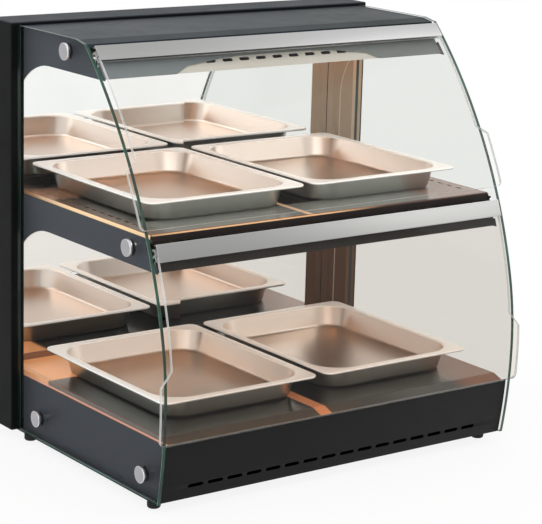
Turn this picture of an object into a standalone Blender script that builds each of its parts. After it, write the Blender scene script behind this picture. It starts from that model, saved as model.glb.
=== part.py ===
# Two-tier heated counter display case with a curved glass front.
# Metres, +Z up. The customer side faces -Y, +X is the customer's right.
import math

import bmesh
import bpy
from mathutils import Matrix, Vector

# Overall sizes: the height is the deck's, the two tiers' and the rear frame's rise added up
width = 0.640
depth = 0.467
deck_top = 0.107
lower_tier = 0.270
upper_tier = 0.240
frame_rise = 0.004

# General clearances and sheet thicknesses
seat_gap = 0.0003
sheet = 0.0012
panel_sheet = 0.0015
glass = 0.005

# Curved front line of the side glass, three arcs that meet smoothly
belly_height = 0.1542
lower_radius = 0.732
middle_radius = 0.448
upper_radius = 0.744
middle_turn = math.radians(13.2)
facet = 0.020

# Levels, each measured from the overall height, a shelf or the foot
foot_height = 0.016
base_drop = 0.006
window_sink = 0.009
window_head = 0.048
shelf_window_sink = 0.005
roof_drop = 0.001
roof_head = 0.050
ceiling_lift = 0.0012

# Side glass, inner side panels and stand-off bolts
panel_stand = 0.006
panel_inset = 0.005
roof_nose_length = 0.0207
roof_nose_drop = 0.004
roof_nose_setback = 0.0031
roof_lip = 0.0055
window_radius = 0.100
window_heel_radius = 0.006
post_width = 0.0145
knob_margin = 0.0005
knob_radius = 0.012
knob_disc = 0.003
knob_edge = 0.0005
knob_neck = 0.009
knob_neck_length = 0.0062
shank_radius = 0.006
thread_radius = 0.003
thread_length = 0.005
knob_high_setback = 0.0541
knob_high_drop = 0.0185
knob_shelf_setback = 0.0423
knob_shelf_drop = 0.019
knob_base_drop = 0.0485
knob_base_rear_setback = 0.068
knob_base_front_setback = 0.0444

# Rear frame, doors and door tracks
frame_depth = 0.068
frame_skin = 0.0015
frame_edge = 0.002
frame_mouth_lift = 0.014
frame_mouth_drop = 0.009
door_mouth_margin = 0.020
door_mouth_lift = 0.002
door_mouth_head = 0.001
track_setback = 0.0239
track_lap = 0.010
track_fin = 0.002
track_low_fin = 0.006
track_high_fin = 0.010
door_lap = 0.003
door_overlap = 0.008
door_drop = 0.002
door_edge = 0.0005
pull_radius = 0.012
pull_rim = 0.0018
pull_well = 0.0012
pull_wall = 0.002
pull_inset = 0.018

# Base and feet
base_inset = 0.0035
base_slot_end = 0.060
base_slot_pitch = 0.0325
base_slot_length = 0.0253
base_slot_height = 0.0052
base_slot_lift = 0.0185
base_slot_shift = -0.004
floor_lip = 0.012
foot_margin = 0.028
foot_front_setback = 0.0485
foot_rear_setback = 0.0762
foot_radius = 0.0095
foot_sole = 0.008
foot_bead = 0.002

# Deck and shelf trays
tray_setback = 0.0055
deck_slope = 0.018
deck_lip = 0.006
shelf_lip = 0.0055
shelf_vent_margin = 0.0182
shelf_vent_length = 0.0125
shelf_vent_width = 0.004
shelf_vent_pitch = 0.021
shelf_vent_front = 0.1052
shelf_vent_rear = 0.070
trim_thickness = 0.0015
trim_low_drop = 0.011
trim_top_drop = 0.0015

# Lamp housings and front fascias under the roof and under the shelf
fascia_inset = 0.0075
upper_fascia_drop = 0.028
lower_fascia_drop = 0.030
flange_drop = 0.003
housing_setback = 0.0075
arch_half_widths = (0.200, 0.157, 0.127, 0.100, 0.060)
arch_rises = (0.0, 0.009, 0.012, 0.015, 0.017)
lamp_vent_count = 9
lamp_vent_pitch = 0.0289
lamp_vent_length = 0.0177
lamp_vent_height = 0.004
lamp_vent_lift = 0.0123
lamp_margin = 0.0572
lamp_radius = 0.005
lamp_cap_radius = 0.007
lamp_cap_length = 0.022
lamp_pinch = 0.003
lamp_pinch_length = 0.004
lamp_mouth_margin = 0.028
lamp_mouth_depth = 0.034
lamp_mouth_radius = 0.010
upper_lamp_gap = 0.018
lower_lamp_gap = 0.058
rear_lamp_share = 0.5

# Heating element under the deck
heater_radius = 0.004
heater_margin = 0.0772
heater_pitch = 0.070
heater_runs = 4
heater_mid_y = 0.0

# Flap hinge: a fixed bead and the rail that hooks over it
upper_axis_drop = 0.020
lower_axis_drop = 0.0212
axis_inset = 0.0035
bead_radius = 0.003
bead_play = 0.0001
web_half = 0.0012
web_angle = math.radians(150)
hook_angle = math.radians(112)
barrel_radius = 0.006
bead_foot = 0.002
bead_foot_front = 0.005
bead_foot_back = 0.014
rail_over = 0.0017
rail_wall = 0.0018
rail_top = 0.0105
rail_bottom = 0.017
rail_back = 0.012
rail_return = 0.005
rail_slot_top = 0.0045
rail_web_angle = math.radians(40)
sweep_clearance = 0.0007

# Curved glass flaps, each level measured up from the shelf or deck
ear_margin = 0.003
ear_corner = 0.008
upper_notch_high = 0.093
upper_notch_low = 0.0815
upper_flap_lift = 0.008
lower_notch_high = 0.098
lower_notch_low = 0.078
lower_flap_sink = 0.004

# Food pans
pan_side_room = 0.02545
pan_room = 0.142
pan_height = 0.033
pan_gap = 0.0135
pan_rim = 0.012
pan_rim_drop = 0.003
pan_draft = 0.009
pan_corner = 0.022
pan_floor_corner = 0.014
pan_sheet = 0.001
pan_bottom_round = 0.004
lower_pan_setback = 0.0585
upper_pan_setback = 0.102

# Control recess in the rear frame
recess_half_width = 0.110
recess_half_height = 0.029
recess_depth = 0.022
recess_flange = 0.006
recess_sheet = 0.0012
control_lift = 0.047
dial_x = 0.065
dial_radius = 0.018
dial_grip_radius = 0.015
dial_height = 0.015
dial_skirt = 0.004
dial_flutes = 10
dial_flute_share = 0.06
dial_stem_radius = 0.003
dial_stem_length = 0.010
dial_stem_play = 0.0005
thermostat_half = 0.019
thermostat_depth = 0.018
switch_x = -0.005
switch_half_width = 0.0075
switch_half_height = 0.012
switch_bezel = 0.0025
switch_bezel_depth = 0.002
switch_body_depth = 0.014
rocker_play = 0.0004
rocker_bulge = 0.0025
rocker_depth = 0.006
rocker_pivot_back = 0.003
inlet_x = -0.070
inlet_half_width = 0.0135
inlet_half_height = 0.010
inlet_flange = 0.004
inlet_flange_depth = 0.002
inlet_body_depth = 0.016
inlet_wall = 0.002
inlet_key = 0.004
inlet_pin_half = 0.001
inlet_pin_length = 0.009
inlet_pin_pitch = 0.007

# Levels that follow from the sizes above
shelf_top = deck_top + lower_tier
glass_top = shelf_top + upper_tier
height = glass_top + frame_rise
base_top = deck_top - base_drop
roof_top = glass_top - roof_drop
window_low = deck_top - window_sink
lower_window_high = shelf_top - window_head
shelf_window_low = shelf_top - shelf_window_sink
upper_window_high = glass_top - roof_head
upper_ceiling = upper_window_high + ceiling_lift
lower_ceiling = lower_window_high + ceiling_lift
upper_axis_z = glass_top - upper_axis_drop
lower_axis_z = shelf_top - lower_axis_drop
upper_fascia_high = glass_top - upper_fascia_drop
lower_fascia_high = shelf_top - lower_fascia_drop
lamp_vent_z = upper_ceiling + lamp_vent_lift
frame_mouth_low = foot_height + frame_mouth_lift
frame_mouth_high = height - frame_mouth_drop
control_z = foot_height + control_lift
recess_low = control_z - recess_half_height
recess_high = control_z + recess_half_height

# Places across the width
glass_half = width / 2 - knob_margin - knob_disc - knob_neck_length - seat_gap
glass_inner = glass_half - glass
between_glass = glass_inner - seat_gap
panel_half = glass_inner - panel_stand
panel_inner = panel_half - panel_sheet
tray_half = panel_inner - seat_gap
foot_x = width / 2 - foot_margin
door_mouth_half = width / 2 - door_mouth_margin
door_half = door_mouth_half + door_lap
track_half = door_mouth_half + track_lap
rail_half = panel_half + rail_over
flap_half = panel_half
ear_half = width / 2 - ear_margin
shelf_vent_x = tray_half - shelf_vent_margin
lamp_half = tray_half - lamp_margin
lamp_mouth_half = lamp_half - lamp_mouth_margin
heater_half = tray_half - heater_margin
pan_width = tray_half - pan_gap / 2 - pan_side_room
base_slot_count = 1 + int(2 * (between_glass - base_slot_end) / base_slot_pitch)

# Places along the depth
back_y = depth / 2
belly_y = -depth / 2 + seat_gap + glass
frame_front = back_y - frame_depth
glass_back = frame_front - seat_gap
track_front = back_y - track_setback
panel_back = track_front - 2 * seat_gap
window_back = panel_back + sheet - post_width
tray_back = back_y - tray_setback
housing_back = back_y - housing_setback
pan_depth = depth - pan_room
shelf_vent_first_y = belly_y + shelf_vent_front
shelf_vent_count = 1 + int((tray_back - shelf_vent_rear - shelf_vent_first_y) / shelf_vent_pitch)

# Arc centres of the curved front and reach of the hinged rails
middle_centre = Vector((belly_y + middle_radius, belly_height))
upper_centre = middle_centre + Vector(
    (
        (upper_radius - middle_radius) * math.cos(middle_turn),
        -(upper_radius - middle_radius) * math.sin(middle_turn),
    )
)
lower_centre = Vector((belly_y + lower_radius, belly_height))
rail_face = axis_inset + seat_gap + glass + seat_gap + rail_wall
sweep_radius = math.hypot(rail_top, rail_face) + sweep_clearance

for old in list(bpy.data.objects):
    bpy.data.objects.remove(old, do_unlink=True)

parts = bpy.data.collections.new("heated_display_case")
cutters = bpy.data.collections.new("cutters")
bpy.context.scene.collection.children.link(parts)
bpy.context.scene.collection.children.link(cutters)


def finish(name, colour, roughness, metallic, alpha=1.0):
    material = bpy.data.materials.new(name)
    material.use_nodes = True
    shader = material.node_tree.nodes["Principled BSDF"]
    shader.inputs["Base Color"].default_value = (*colour, 1.0)
    shader.inputs["Roughness"].default_value = roughness
    shader.inputs["Metallic"].default_value = metallic
    shader.inputs["Alpha"].default_value = alpha
    return material


charcoal = finish("charcoal_paint", (0.022, 0.023, 0.026), 0.45, 0.0)
slate = finish("slate_paint", (0.11, 0.12, 0.125), 0.5, 0.0)
panel_grey = finish("panel_paint", (0.07, 0.073, 0.09), 0.45, 0.0)
base_black = finish("base_paint", (0.021, 0.021, 0.021), 0.5, 0.0)
stainless = finish("brushed_stainless", (0.55, 0.54, 0.52), 0.3, 1.0)
bright_steel = finish("bright_steel", (0.75, 0.74, 0.72), 0.25, 1.0)
aluminium = finish("brushed_aluminium", (0.6, 0.6, 0.59), 0.35, 1.0)
chrome = finish("polished_chrome", (0.8, 0.8, 0.82), 0.15, 1.0)
clear = finish("clear_glass", (0.85, 0.93, 0.9), 0.02, 0.0, 0.25)
mirror = finish("mirror_glass", (0.85, 0.85, 0.85), 0.03, 1.0)
quartz = finish("quartz_lamp", (1.0, 0.55, 0.2), 0.2, 0.0)
element = finish("heating_element", (0.12, 0.11, 0.10), 0.5, 0.8)
rubber = finish("black_rubber", (0.012, 0.012, 0.012), 0.8, 0.0)
plastic = finish("black_plastic", (0.02, 0.02, 0.02), 0.4, 0.0)


def outline_at(z, offset=0.0, further=0.0):
    """Point at height z of the curved front line moved outwards by offset.

    Further moves that point straight outwards, so its height changes too."""
    if z <= belly_height:
        centre, radius = lower_centre, lower_radius
    elif z <= middle_centre.y + (middle_radius + offset) * math.sin(middle_turn):
        centre, radius = middle_centre, middle_radius
    else:
        centre, radius = upper_centre, upper_radius
    turn = math.asin((z - centre.y) / (radius + offset))
    reach = radius + offset + further
    return (centre.x - reach * math.cos(turn), centre.y + reach * math.sin(turn))


def front_line(low, high, offset=0.0):
    """The curved front line between two heights, from the lower one up."""
    steps = max(2, math.ceil((high - low) / facet))
    return [outline_at(low + (high - low) * i / steps, offset) for i in range(steps + 1)]


def arc(centre, radius, start, end, steps):
    return [
        (
            centre[0] + radius * math.cos(start + (end - start) * i / steps),
            centre[1] + radius * math.sin(start + (end - start) * i / steps),
        )
        for i in range(steps + 1)
    ]


def rectangle(centre, half_width, half_height):
    x, y = centre
    return [
        (x - half_width, y - half_height),
        (x + half_width, y - half_height),
        (x + half_width, y + half_height),
        (x - half_width, y + half_height),
    ]


def rounded_slot(centre, length, thickness, steps=4):
    """A slot with round ends, its length along the first axis."""
    reach = length / 2 - thickness / 2
    right = arc((centre[0] + reach, centre[1]), thickness / 2, -math.pi / 2, math.pi / 2, steps)
    left = arc((centre[0] - reach, centre[1]), thickness / 2, math.pi / 2, 3 * math.pi / 2, steps)
    return right + left


def rounded_box(low, high, radius, steps=4):
    """A rectangle between two corners with rounded corners."""
    points = []
    corners = (
        (high[0] - radius, low[1] + radius, -math.pi / 2),
        (high[0] - radius, high[1] - radius, 0.0),
        (low[0] + radius, high[1] - radius, math.pi / 2),
        (low[0] + radius, low[1] + radius, math.pi),
    )
    for x, y, start in corners:
        points += arc((x, y), radius, start, start + math.pi / 2, steps)
    return points


def folded(path, thickness):
    """Outline of a folded sheet: a path and the same path moved to its left by the thickness."""
    points = [Vector(p) for p in path]
    normals = []
    for a, b in zip(points, points[1:]):
        along = (b - a).normalized()
        normals.append(Vector((-along.y, along.x)))
    inner = []
    for i, point in enumerate(points):
        before = normals[max(i - 1, 0)]
        after = normals[min(i, len(normals) - 1)]
        mitre = before + after
        inner.append(point + mitre * (thickness / (mitre.length_squared / 2)))
    return [tuple(p) for p in points] + [tuple(p) for p in reversed(inner)]


def place(point, along, axis):
    """A point of a cross-section and a distance along its axis, as a point in space."""
    a, b = point
    if axis == "X":
        return (along, a, b)
    if axis == "Y":
        return (a, along, b)
    return (a, b, along)


def add_prism(bm, outline, low, high, axis):
    front = [bm.verts.new(place(p, low, axis)) for p in outline]
    back = [bm.verts.new(place(p, high, axis)) for p in outline]
    bm.faces.new(front)
    bm.faces.new(reversed(back))
    for i in range(len(outline)):
        j = (i + 1) % len(outline)
        bm.faces.new((front[j], front[i], back[i], back[j]))


def add_loft(bm, rings):
    loops = [[bm.verts.new(p) for p in ring] for ring in rings]
    bm.faces.new(loops[0])
    bm.faces.new(reversed(loops[-1]))
    for first, second in zip(loops, loops[1:]):
        for i in range(len(first)):
            j = (i + 1) % len(first)
            bm.faces.new((first[j], first[i], second[i], second[j]))


def make(name, bm, material):
    """Turn a closed mesh into a named part, or into a cutter when it has no material."""
    bmesh.ops.recalc_face_normals(bm, faces=bm.faces)
    mesh = bpy.data.meshes.new(name)
    bm.to_mesh(mesh)
    bm.free()
    made = bpy.data.objects.new(name, mesh)
    if material:
        mesh.materials.append(material)
        parts.objects.link(made)
    else:
        cutters.objects.link(made)
        made.hide_render = True
        made.display_type = "WIRE"
    return made


def prism(name, outlines, low, high, axis, material=None):
    """One or more outlines extruded between two places along an axis."""
    if not isinstance(outlines[0], list):
        outlines = [outlines]
    bm = bmesh.new()
    for outline in outlines:
        add_prism(bm, outline, low, high, axis)
    return make(name, bm, material)


def box(name, low, high, material=None):
    outline = [(low[0], low[1]), (high[0], low[1]), (high[0], high[1]), (low[0], high[1])]
    return prism(name, outline, low[2], high[2], "Z", material)


def loft(name, rings, material=None):
    bm = bmesh.new()
    add_loft(bm, rings)
    return make(name, bm, material)


def turned(name, profile, centre, axis, material=None, steps=24):
    """A turned piece: (place along the axis, radius) pairs swept about the axis through centre."""
    rings = []
    for along, radius in profile:
        circle = arc(centre, radius, 0.0, 2 * math.pi, steps)[:-1]
        rings.append([place(p, along, axis) for p in circle])
    return loft(name, rings, material)


def boolean(target, tool, operation="DIFFERENCE"):
    modifier = target.modifiers.new(tool.name, "BOOLEAN")
    modifier.operation = operation
    modifier.solver = "EXACT"
    modifier.object = tool


def bevel(target, size, segments=2, angle=math.radians(40)):
    modifier = target.modifiers.new("edges", "BEVEL")
    modifier.width = size
    modifier.segments = segments
    modifier.limit_method = "ANGLE"
    modifier.angle_limit = angle


def hinge_on(name, place_of_axis, pieces):
    """An empty on the joint's axis that carries the moving pieces."""
    pivot = bpy.data.objects.new(name, None)
    parts.objects.link(pivot)
    pivot.location = place_of_axis
    for piece in pieces:
        piece.parent = pivot
        piece.matrix_parent_inverse = Matrix.Translation(-Vector(place_of_axis))


# Base: curved front panel with its row of air slots, floor and feet
face = front_line(foot_height, base_top, -base_inset)
back = front_line(foot_height, base_top, -base_inset - sheet)
base_front = prism(
    "base_front_panel", face + back[::-1], -between_glass, between_glass, "X", base_black
)
first_slot = base_slot_shift - base_slot_pitch * (base_slot_count - 1) / 2
slots = [
    rounded_slot(
        (first_slot + base_slot_pitch * i, foot_height + base_slot_lift),
        base_slot_length,
        base_slot_height,
    )
    for i in range(base_slot_count)
]
slot_cutter = prism("base_slots", slots, belly_y - glass, belly_y + 4 * glass, "Y")
boolean(base_front, slot_cutter)

floor_lip_top = foot_height + floor_lip
floor_path = [
    (frame_front - seat_gap, foot_height),
    (outline_at(foot_height, -base_inset - sheet - seat_gap)[0], foot_height),
    (outline_at(floor_lip_top, -base_inset - sheet - seat_gap)[0], floor_lip_top),
]
prism("base_floor", folded(floor_path, -sheet), -tray_half, tray_half, "X", base_black)

foot_profile = [
    (0.0, foot_sole),
    (foot_bead, foot_radius),
    (foot_height / 2, foot_radius),
    (foot_height - foot_bead, foot_sole),
    (foot_height - seat_gap, foot_sole),
]
for side, x in (("left", -foot_x), ("right", foot_x)):
    for end, y in (
        ("front", belly_y + foot_front_setback),
        ("rear", back_y - foot_rear_setback),
    ):
        turned(f"foot_{end}_{side}", foot_profile, (x, y), "Z", rubber, 20)


# Rear frame: a boxed surround that holds the two pairs of sliding doors
rear_frame = box(
    "rear_frame", (-width / 2, frame_front, foot_height), (width / 2, back_y, height), charcoal
)
bevel(rear_frame, frame_edge)
hollow = box(
    "rear_frame_hollow",
    (-width / 2 + frame_skin, frame_front + frame_skin, foot_height + frame_skin),
    (width / 2 - frame_skin, back_y - frame_skin, height - frame_skin),
)
mouth = box(
    "rear_frame_mouth",
    (-panel_half - seat_gap, frame_front - frame_skin, frame_mouth_low),
    (panel_half + seat_gap, frame_front + 2 * frame_skin, frame_mouth_high),
)
boolean(rear_frame, hollow)
boolean(rear_frame, mouth)
for tier, floor, head in (
    ("lower", deck_top, lower_window_high),
    ("upper", shelf_top, upper_window_high),
):
    door_mouth = box(
        f"{tier}_door_mouth",
        (-door_mouth_half, back_y - 2 * frame_skin, floor + door_mouth_lift),
        (door_mouth_half, back_y + frame_skin, head - door_mouth_head),
    )
    boolean(rear_frame, door_mouth)
recess_mouth = box(
    "recess_mouth",
    (-recess_half_width, back_y - 2 * frame_skin, recess_low),
    (recess_half_width, back_y + frame_skin, recess_high),
)
boolean(rear_frame, recess_mouth)


# Hinge places: the two flap axes lie just inside the curved front line
def hinge_frame(axis_z):
    """Axis point, outward direction and downward direction of the front line at the hinge."""
    turn = math.asin((axis_z - upper_centre.y) / (upper_radius - axis_inset))
    outward = Vector((-math.cos(turn), math.sin(turn)))
    down = Vector((-math.sin(turn), -math.cos(turn)))
    return upper_centre + outward * (upper_radius - axis_inset), outward, down, turn


def web_run(hinge):
    """Direction in which the bead's web leaves the axis."""
    _, outward, down, _ = hinge
    return outward * math.cos(web_angle) + down * math.sin(web_angle)


def bead_sole(hinge, ceiling):
    """Front and back end of the foot under the bead's web."""
    axis = hinge[0]
    along = web_run(hinge)
    middle = axis.x + along.x * (axis.y - ceiling - sheet - seat_gap - bead_foot) / -along.y
    return (middle - web_half - bead_foot_front, middle + web_half + bead_foot_back)


upper_hinge = hinge_frame(upper_axis_z)
lower_hinge = hinge_frame(lower_axis_z)


# Side glass and inner side panels
roof_nose_y = outline_at(glass_top - roof_nose_drop)[0] + roof_nose_setback
roof_break_y = roof_nose_y + roof_nose_length
glass_outline = front_line(foot_height, glass_top - roof_nose_drop) + [
    (roof_nose_y, glass_top - roof_nose_drop),
    (roof_break_y, glass_top),
    (glass_back, glass_top),
    (glass_back, foot_height),
]
panel_top = roof_top - sheet - seat_gap
relief_start = upper_axis_z - sweep_radius / 2
panel_outline = front_line(foot_height, relief_start, -panel_inset) + [
    (roof_nose_y + sheet + seat_gap, upper_axis_z + sweep_radius / 2),
    (roof_nose_y + sheet + seat_gap, panel_top - roof_nose_drop),
    (roof_break_y, panel_top),
    (glass_back, panel_top),
    (glass_back, frame_mouth_high - seat_gap),
    (panel_back, frame_mouth_high - seat_gap),
    (panel_back, frame_mouth_low + seat_gap),
    (glass_back, frame_mouth_low + seat_gap),
    (glass_back, foot_height),
]
knob_high_z = glass_top - knob_high_drop
knob_shelf_z = shelf_top - knob_shelf_drop
knob_base_z = base_top - knob_base_drop
knob_places = (
    ("top", outline_at(knob_high_z)[0] + knob_high_setback, knob_high_z),
    ("shelf", outline_at(knob_shelf_z)[0] + knob_shelf_setback, knob_shelf_z),
    ("base_rear", frame_front - knob_base_rear_setback, knob_base_z),
    ("base_front", belly_y + knob_base_front_setback, knob_base_z),
)


def window(low, high):
    """A side window, open to the front, with one large rounded corner at its rear top."""
    return (
        [(-depth, low), (window_back - window_heel_radius, low)]
        + arc(
            (window_back - window_heel_radius, low + window_heel_radius),
            window_heel_radius,
            -math.pi / 2,
            0.0,
            4,
        )[1:]
        + arc(
            (window_back - window_radius, high - window_radius), window_radius, 0.0, math.pi / 2, 12
        )
        + [(-depth, high)]
    )


window_cutter = prism(
    "window_cutter",
    [window(window_low, lower_window_high), window(shelf_window_low, upper_window_high)],
    -width,
    width,
    "X",
)
relief_cutter = prism(
    "hinge_relief",
    [arc(hinge[0], sweep_radius, 0.0, 2 * math.pi, 40)[:-1] for hinge in (upper_hinge, lower_hinge)],
    -width,
    width,
    "X",
)
glass_holes = prism(
    "glass_holes",
    [arc((y, z), shank_radius + seat_gap, 0.0, 2 * math.pi, 20)[:-1] for _, y, z in knob_places],
    -width,
    width,
    "X",
)
thread_holes = prism(
    "thread_holes",
    [arc((y, z), thread_radius + seat_gap, 0.0, 2 * math.pi, 16)[:-1] for _, y, z in knob_places],
    -width,
    width,
    "X",
)
for side, sign in (("left", -1), ("right", 1)):
    pane = prism(
        f"side_glass_{side}",
        glass_outline,
        *sorted((sign * glass_half, sign * glass_inner)),
        "X",
        clear,
    )
    boolean(pane, glass_holes)
    panel = prism(
        f"side_panel_{side}",
        panel_outline,
        *sorted((sign * panel_half, sign * panel_inner)),
        "X",
        panel_grey,
    )
    foot_span = sorted((sign * (panel_half - seat_gap), sign * between_glass))
    panel_foot = box(
        f"panel_foot_{side}",
        (foot_span[0], outline_at(foot_height, -panel_inset)[0] + seat_gap, foot_height),
        (foot_span[1], glass_back, foot_height + panel_sheet),
    )
    boolean(panel, panel_foot, "UNION")
    boolean(panel, window_cutter)
    boolean(panel, relief_cutter)
    boolean(panel, thread_holes)
    neck_start = glass_half + seat_gap
    disc_start = neck_start + knob_neck_length
    disc_end = disc_start + knob_disc
    bolt = [
        (panel_half - thread_length, thread_radius),
        (panel_half + seat_gap, thread_radius),
        (panel_half + seat_gap, shank_radius),
        (neck_start, shank_radius),
        (neck_start, knob_neck),
        (disc_start, knob_neck),
        (disc_start, knob_radius - knob_edge),
        (disc_start + knob_edge, knob_radius),
        (disc_end - knob_edge, knob_radius),
        (disc_end, knob_radius - knob_edge),
    ]
    bolt = [(sign * along, radius) for along, radius in bolt]
    for place_name, y, z in knob_places:
        turned(f"knob_{side}_{place_name}", bolt, (y, z), "X", chrome, 20)


# Roof sheet with its sloped nose and short front lip
roof_path = [
    (roof_nose_y, roof_top - roof_nose_drop - roof_lip),
    (roof_nose_y, roof_top - roof_nose_drop),
    (roof_break_y, roof_top),
    (glass_back, roof_top),
]
prism("roof", folded(roof_path, -sheet), -between_glass, between_glass, "X", slate)


# Deck and shelf: trays folded down on all four sides
def tray(name, top, front, lip, material):
    """front holds the (y, z) points of the front face from its lower edge to the tray's top."""
    outer = front + [(tray_back, top), (tray_back, top - lip)]
    shell = prism(name, outer, -tray_half, tray_half, "X", material)
    inner = [(y + panel_sheet, z - panel_sheet) for y, z in front]
    inner[0] = (inner[0][0], inner[0][1] - lip)
    inner += [(tray_back - panel_sheet, top - panel_sheet), (tray_back - panel_sheet, inner[0][1])]
    room = prism(
        f"{name}_room", inner, -tray_half + panel_sheet, tray_half - panel_sheet, "X"
    )
    boolean(shell, room)
    return shell


deck_front = -base_inset - sheet - seat_gap
deck_face = [
    outline_at(base_top - deck_lip, deck_front),
    outline_at(base_top, deck_front),
    (outline_at(base_top, deck_front)[0] + deck_slope, deck_top),
]
tray("deck", deck_top, deck_face, deck_top - base_top + deck_lip, stainless)

lower_axis = lower_hinge[0]
trim_low = shelf_top - trim_low_drop
trim_face = lower_axis.x + math.sqrt(sweep_radius**2 - (trim_low - lower_axis.y) ** 2)
shelf_front = trim_face + trim_thickness + seat_gap
shelf_face = [(shelf_front, shelf_top - shelf_lip), (shelf_front, shelf_top)]
shelf = tray("shelf", shelf_top, shelf_face, shelf_lip, stainless)
vents = []
for sign in (-1, 1):
    for i in range(shelf_vent_count):
        y = shelf_vent_first_y + shelf_vent_pitch * i
        slot = rounded_slot((y, sign * shelf_vent_x), shelf_vent_length, shelf_vent_width, 3)
        vents.append([(b, a) for a, b in slot])
vent_cutter = prism("shelf_vents", vents, shelf_top - 2 * panel_sheet, shelf_top + panel_sheet, "Z")
boolean(shelf, vent_cutter)
box(
    "shelf_trim",
    (-tray_half, trim_face, trim_low),
    (tray_half, trim_face + trim_thickness, shelf_top - trim_top_drop),
    base_black,
)


# Lamp housings: a ceiling sheet with a raised front flange and two lamp mouths
def lamp_lines(hinge, ceiling, gap):
    """Places of the two lamps behind the hinge bead's foot."""
    first = bead_sole(hinge, ceiling)[1] + gap
    return (first, first + rear_lamp_share * (housing_back - first))


def housing(name, ceiling, fascia_high, lamp_places):
    inset = -fascia_inset - sheet - seat_gap
    front = front_line(ceiling + sheet, fascia_high - flange_drop, inset)
    path = [(housing_back, ceiling), (outline_at(ceiling, inset)[0], ceiling)] + front[1:]
    made = prism(name, folded(path, -sheet), -tray_half, tray_half, "X", bright_steel)
    mouths = [
        rounded_box(
            (-lamp_mouth_half, y - lamp_mouth_depth / 2),
            (lamp_mouth_half, y + lamp_mouth_depth / 2),
            lamp_mouth_radius,
            3,
        )
        for y in lamp_places
    ]
    boolean(made, prism(f"{name}_mouths", mouths, ceiling - sheet, ceiling + 2 * sheet, "Z"))
    return made


def lamp(name, y, ceiling):
    """A quartz tube with ceramic ends that rest on the ceiling sheet."""
    axis_z = ceiling + sheet + seat_gap + lamp_cap_radius
    cap = lamp_half - lamp_cap_length
    profile = [
        (-lamp_half, lamp_cap_radius),
        (-cap, lamp_cap_radius),
        (-cap, lamp_pinch),
        (-cap + lamp_pinch_length, lamp_pinch),
        (-cap + 2 * lamp_pinch_length, lamp_radius),
        (cap - 2 * lamp_pinch_length, lamp_radius),
        (cap - lamp_pinch_length, lamp_pinch),
        (cap, lamp_pinch),
        (cap, lamp_cap_radius),
        (lamp_half, lamp_cap_radius),
    ]
    turned(name, profile, (y, axis_z), "X", quartz, 16)


upper_lamp_y = lamp_lines(upper_hinge, upper_ceiling, upper_lamp_gap)
lower_lamp_y = lamp_lines(lower_hinge, lower_ceiling, lower_lamp_gap)
upper_housing = housing("upper_lamp_housing", upper_ceiling, upper_fascia_high, upper_lamp_y)
housing("lower_lamp_housing", lower_ceiling, lower_fascia_high, lower_lamp_y)
first_vent = -lamp_vent_pitch * (lamp_vent_count - 1) / 2
lamp_vents = [
    rounded_slot((first_vent + lamp_vent_pitch * i, lamp_vent_z), lamp_vent_length, lamp_vent_height, 3)
    for i in range(lamp_vent_count)
]
boolean(
    upper_housing,
    prism("lamp_vents", lamp_vents, outline_at(lamp_vent_z)[0], upper_hinge[0].x + web_half, "Y"),
)
for number, (upper_y, lower_y) in enumerate(zip(upper_lamp_y, lower_lamp_y), 1):
    lamp(f"upper_lamp_{number}", upper_y, upper_ceiling)
    lamp(f"lower_lamp_{number}", lower_y, lower_ceiling)


# Fascias that follow the curved front, the upper one with a stepped arch
def fascia(name, low, high):
    outer = front_line(low, high, -fascia_inset)
    inner = front_line(low, high, -fascia_inset - sheet)
    return prism(name, outer + inner[::-1], -tray_half, tray_half, "X", base_black)


upper_fascia = fascia("upper_fascia", upper_ceiling, upper_fascia_high)
fascia("lower_fascia", lower_ceiling, lower_fascia_high)
arch = [(x, upper_ceiling + rise) for x, rise in zip(arch_half_widths, arch_rises)]
arch[0] = (arch_half_widths[0], upper_ceiling - fascia_inset)
arch += [(-x, z) for x, z in reversed(arch)]
boolean(upper_fascia, prism("arch_cutter", arch, -depth / 2, depth / 2, "Y"))


# Heating element: a looped tube held just under the deck
def heater():
    z = deck_top - panel_sheet - seat_gap - heater_radius
    first = heater_mid_y - heater_pitch * (heater_runs - 1) / 2
    route = []
    for run in range(heater_runs):
        y = first + heater_pitch * run
        sign = 1 if run % 2 == 0 else -1
        if run == 0:
            route.append((-sign * heater_half, y))
        if run < heater_runs - 1:
            centre = (sign * heater_half, y + heater_pitch / 2)
            turn = arc(centre, heater_pitch / 2, -math.pi / 2, math.pi / 2, 8)
            route += turn if sign > 0 else [(2 * centre[0] - a, b) for a, b in turn]
        else:
            route.append((sign * heater_half, y))
    curve = bpy.data.curves.new("deck_heater", "CURVE")
    curve.dimensions = "3D"
    curve.bevel_depth = heater_radius
    curve.bevel_resolution = 2
    curve.use_fill_caps = True
    spline = curve.splines.new("POLY")
    spline.points.add(len(route) - 1)
    for point, (x, y) in zip(spline.points, route):
        point.co = (x, y, z, 1.0)
    curve.materials.append(element)
    parts.objects.link(bpy.data.objects.new("deck_heater", curve))


heater()


# Flap hinges: a fixed bead on a web, and a rail whose open hook turns on the bead
def hinge_point(hinge, u, n):
    """u runs down along the front line, n points outwards, both from the axis."""
    axis, outward, down, _ = hinge
    return tuple(axis + down * u + outward * n)


def hinge_arc(hinge, radius, start, end, steps):
    """An arc about the axis, its angles measured from outwards towards down."""
    turns = [start + (end - start) * i / steps for i in range(steps + 1)]
    return [hinge_point(hinge, radius * math.sin(a), radius * math.cos(a)) for a in turns]


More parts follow.
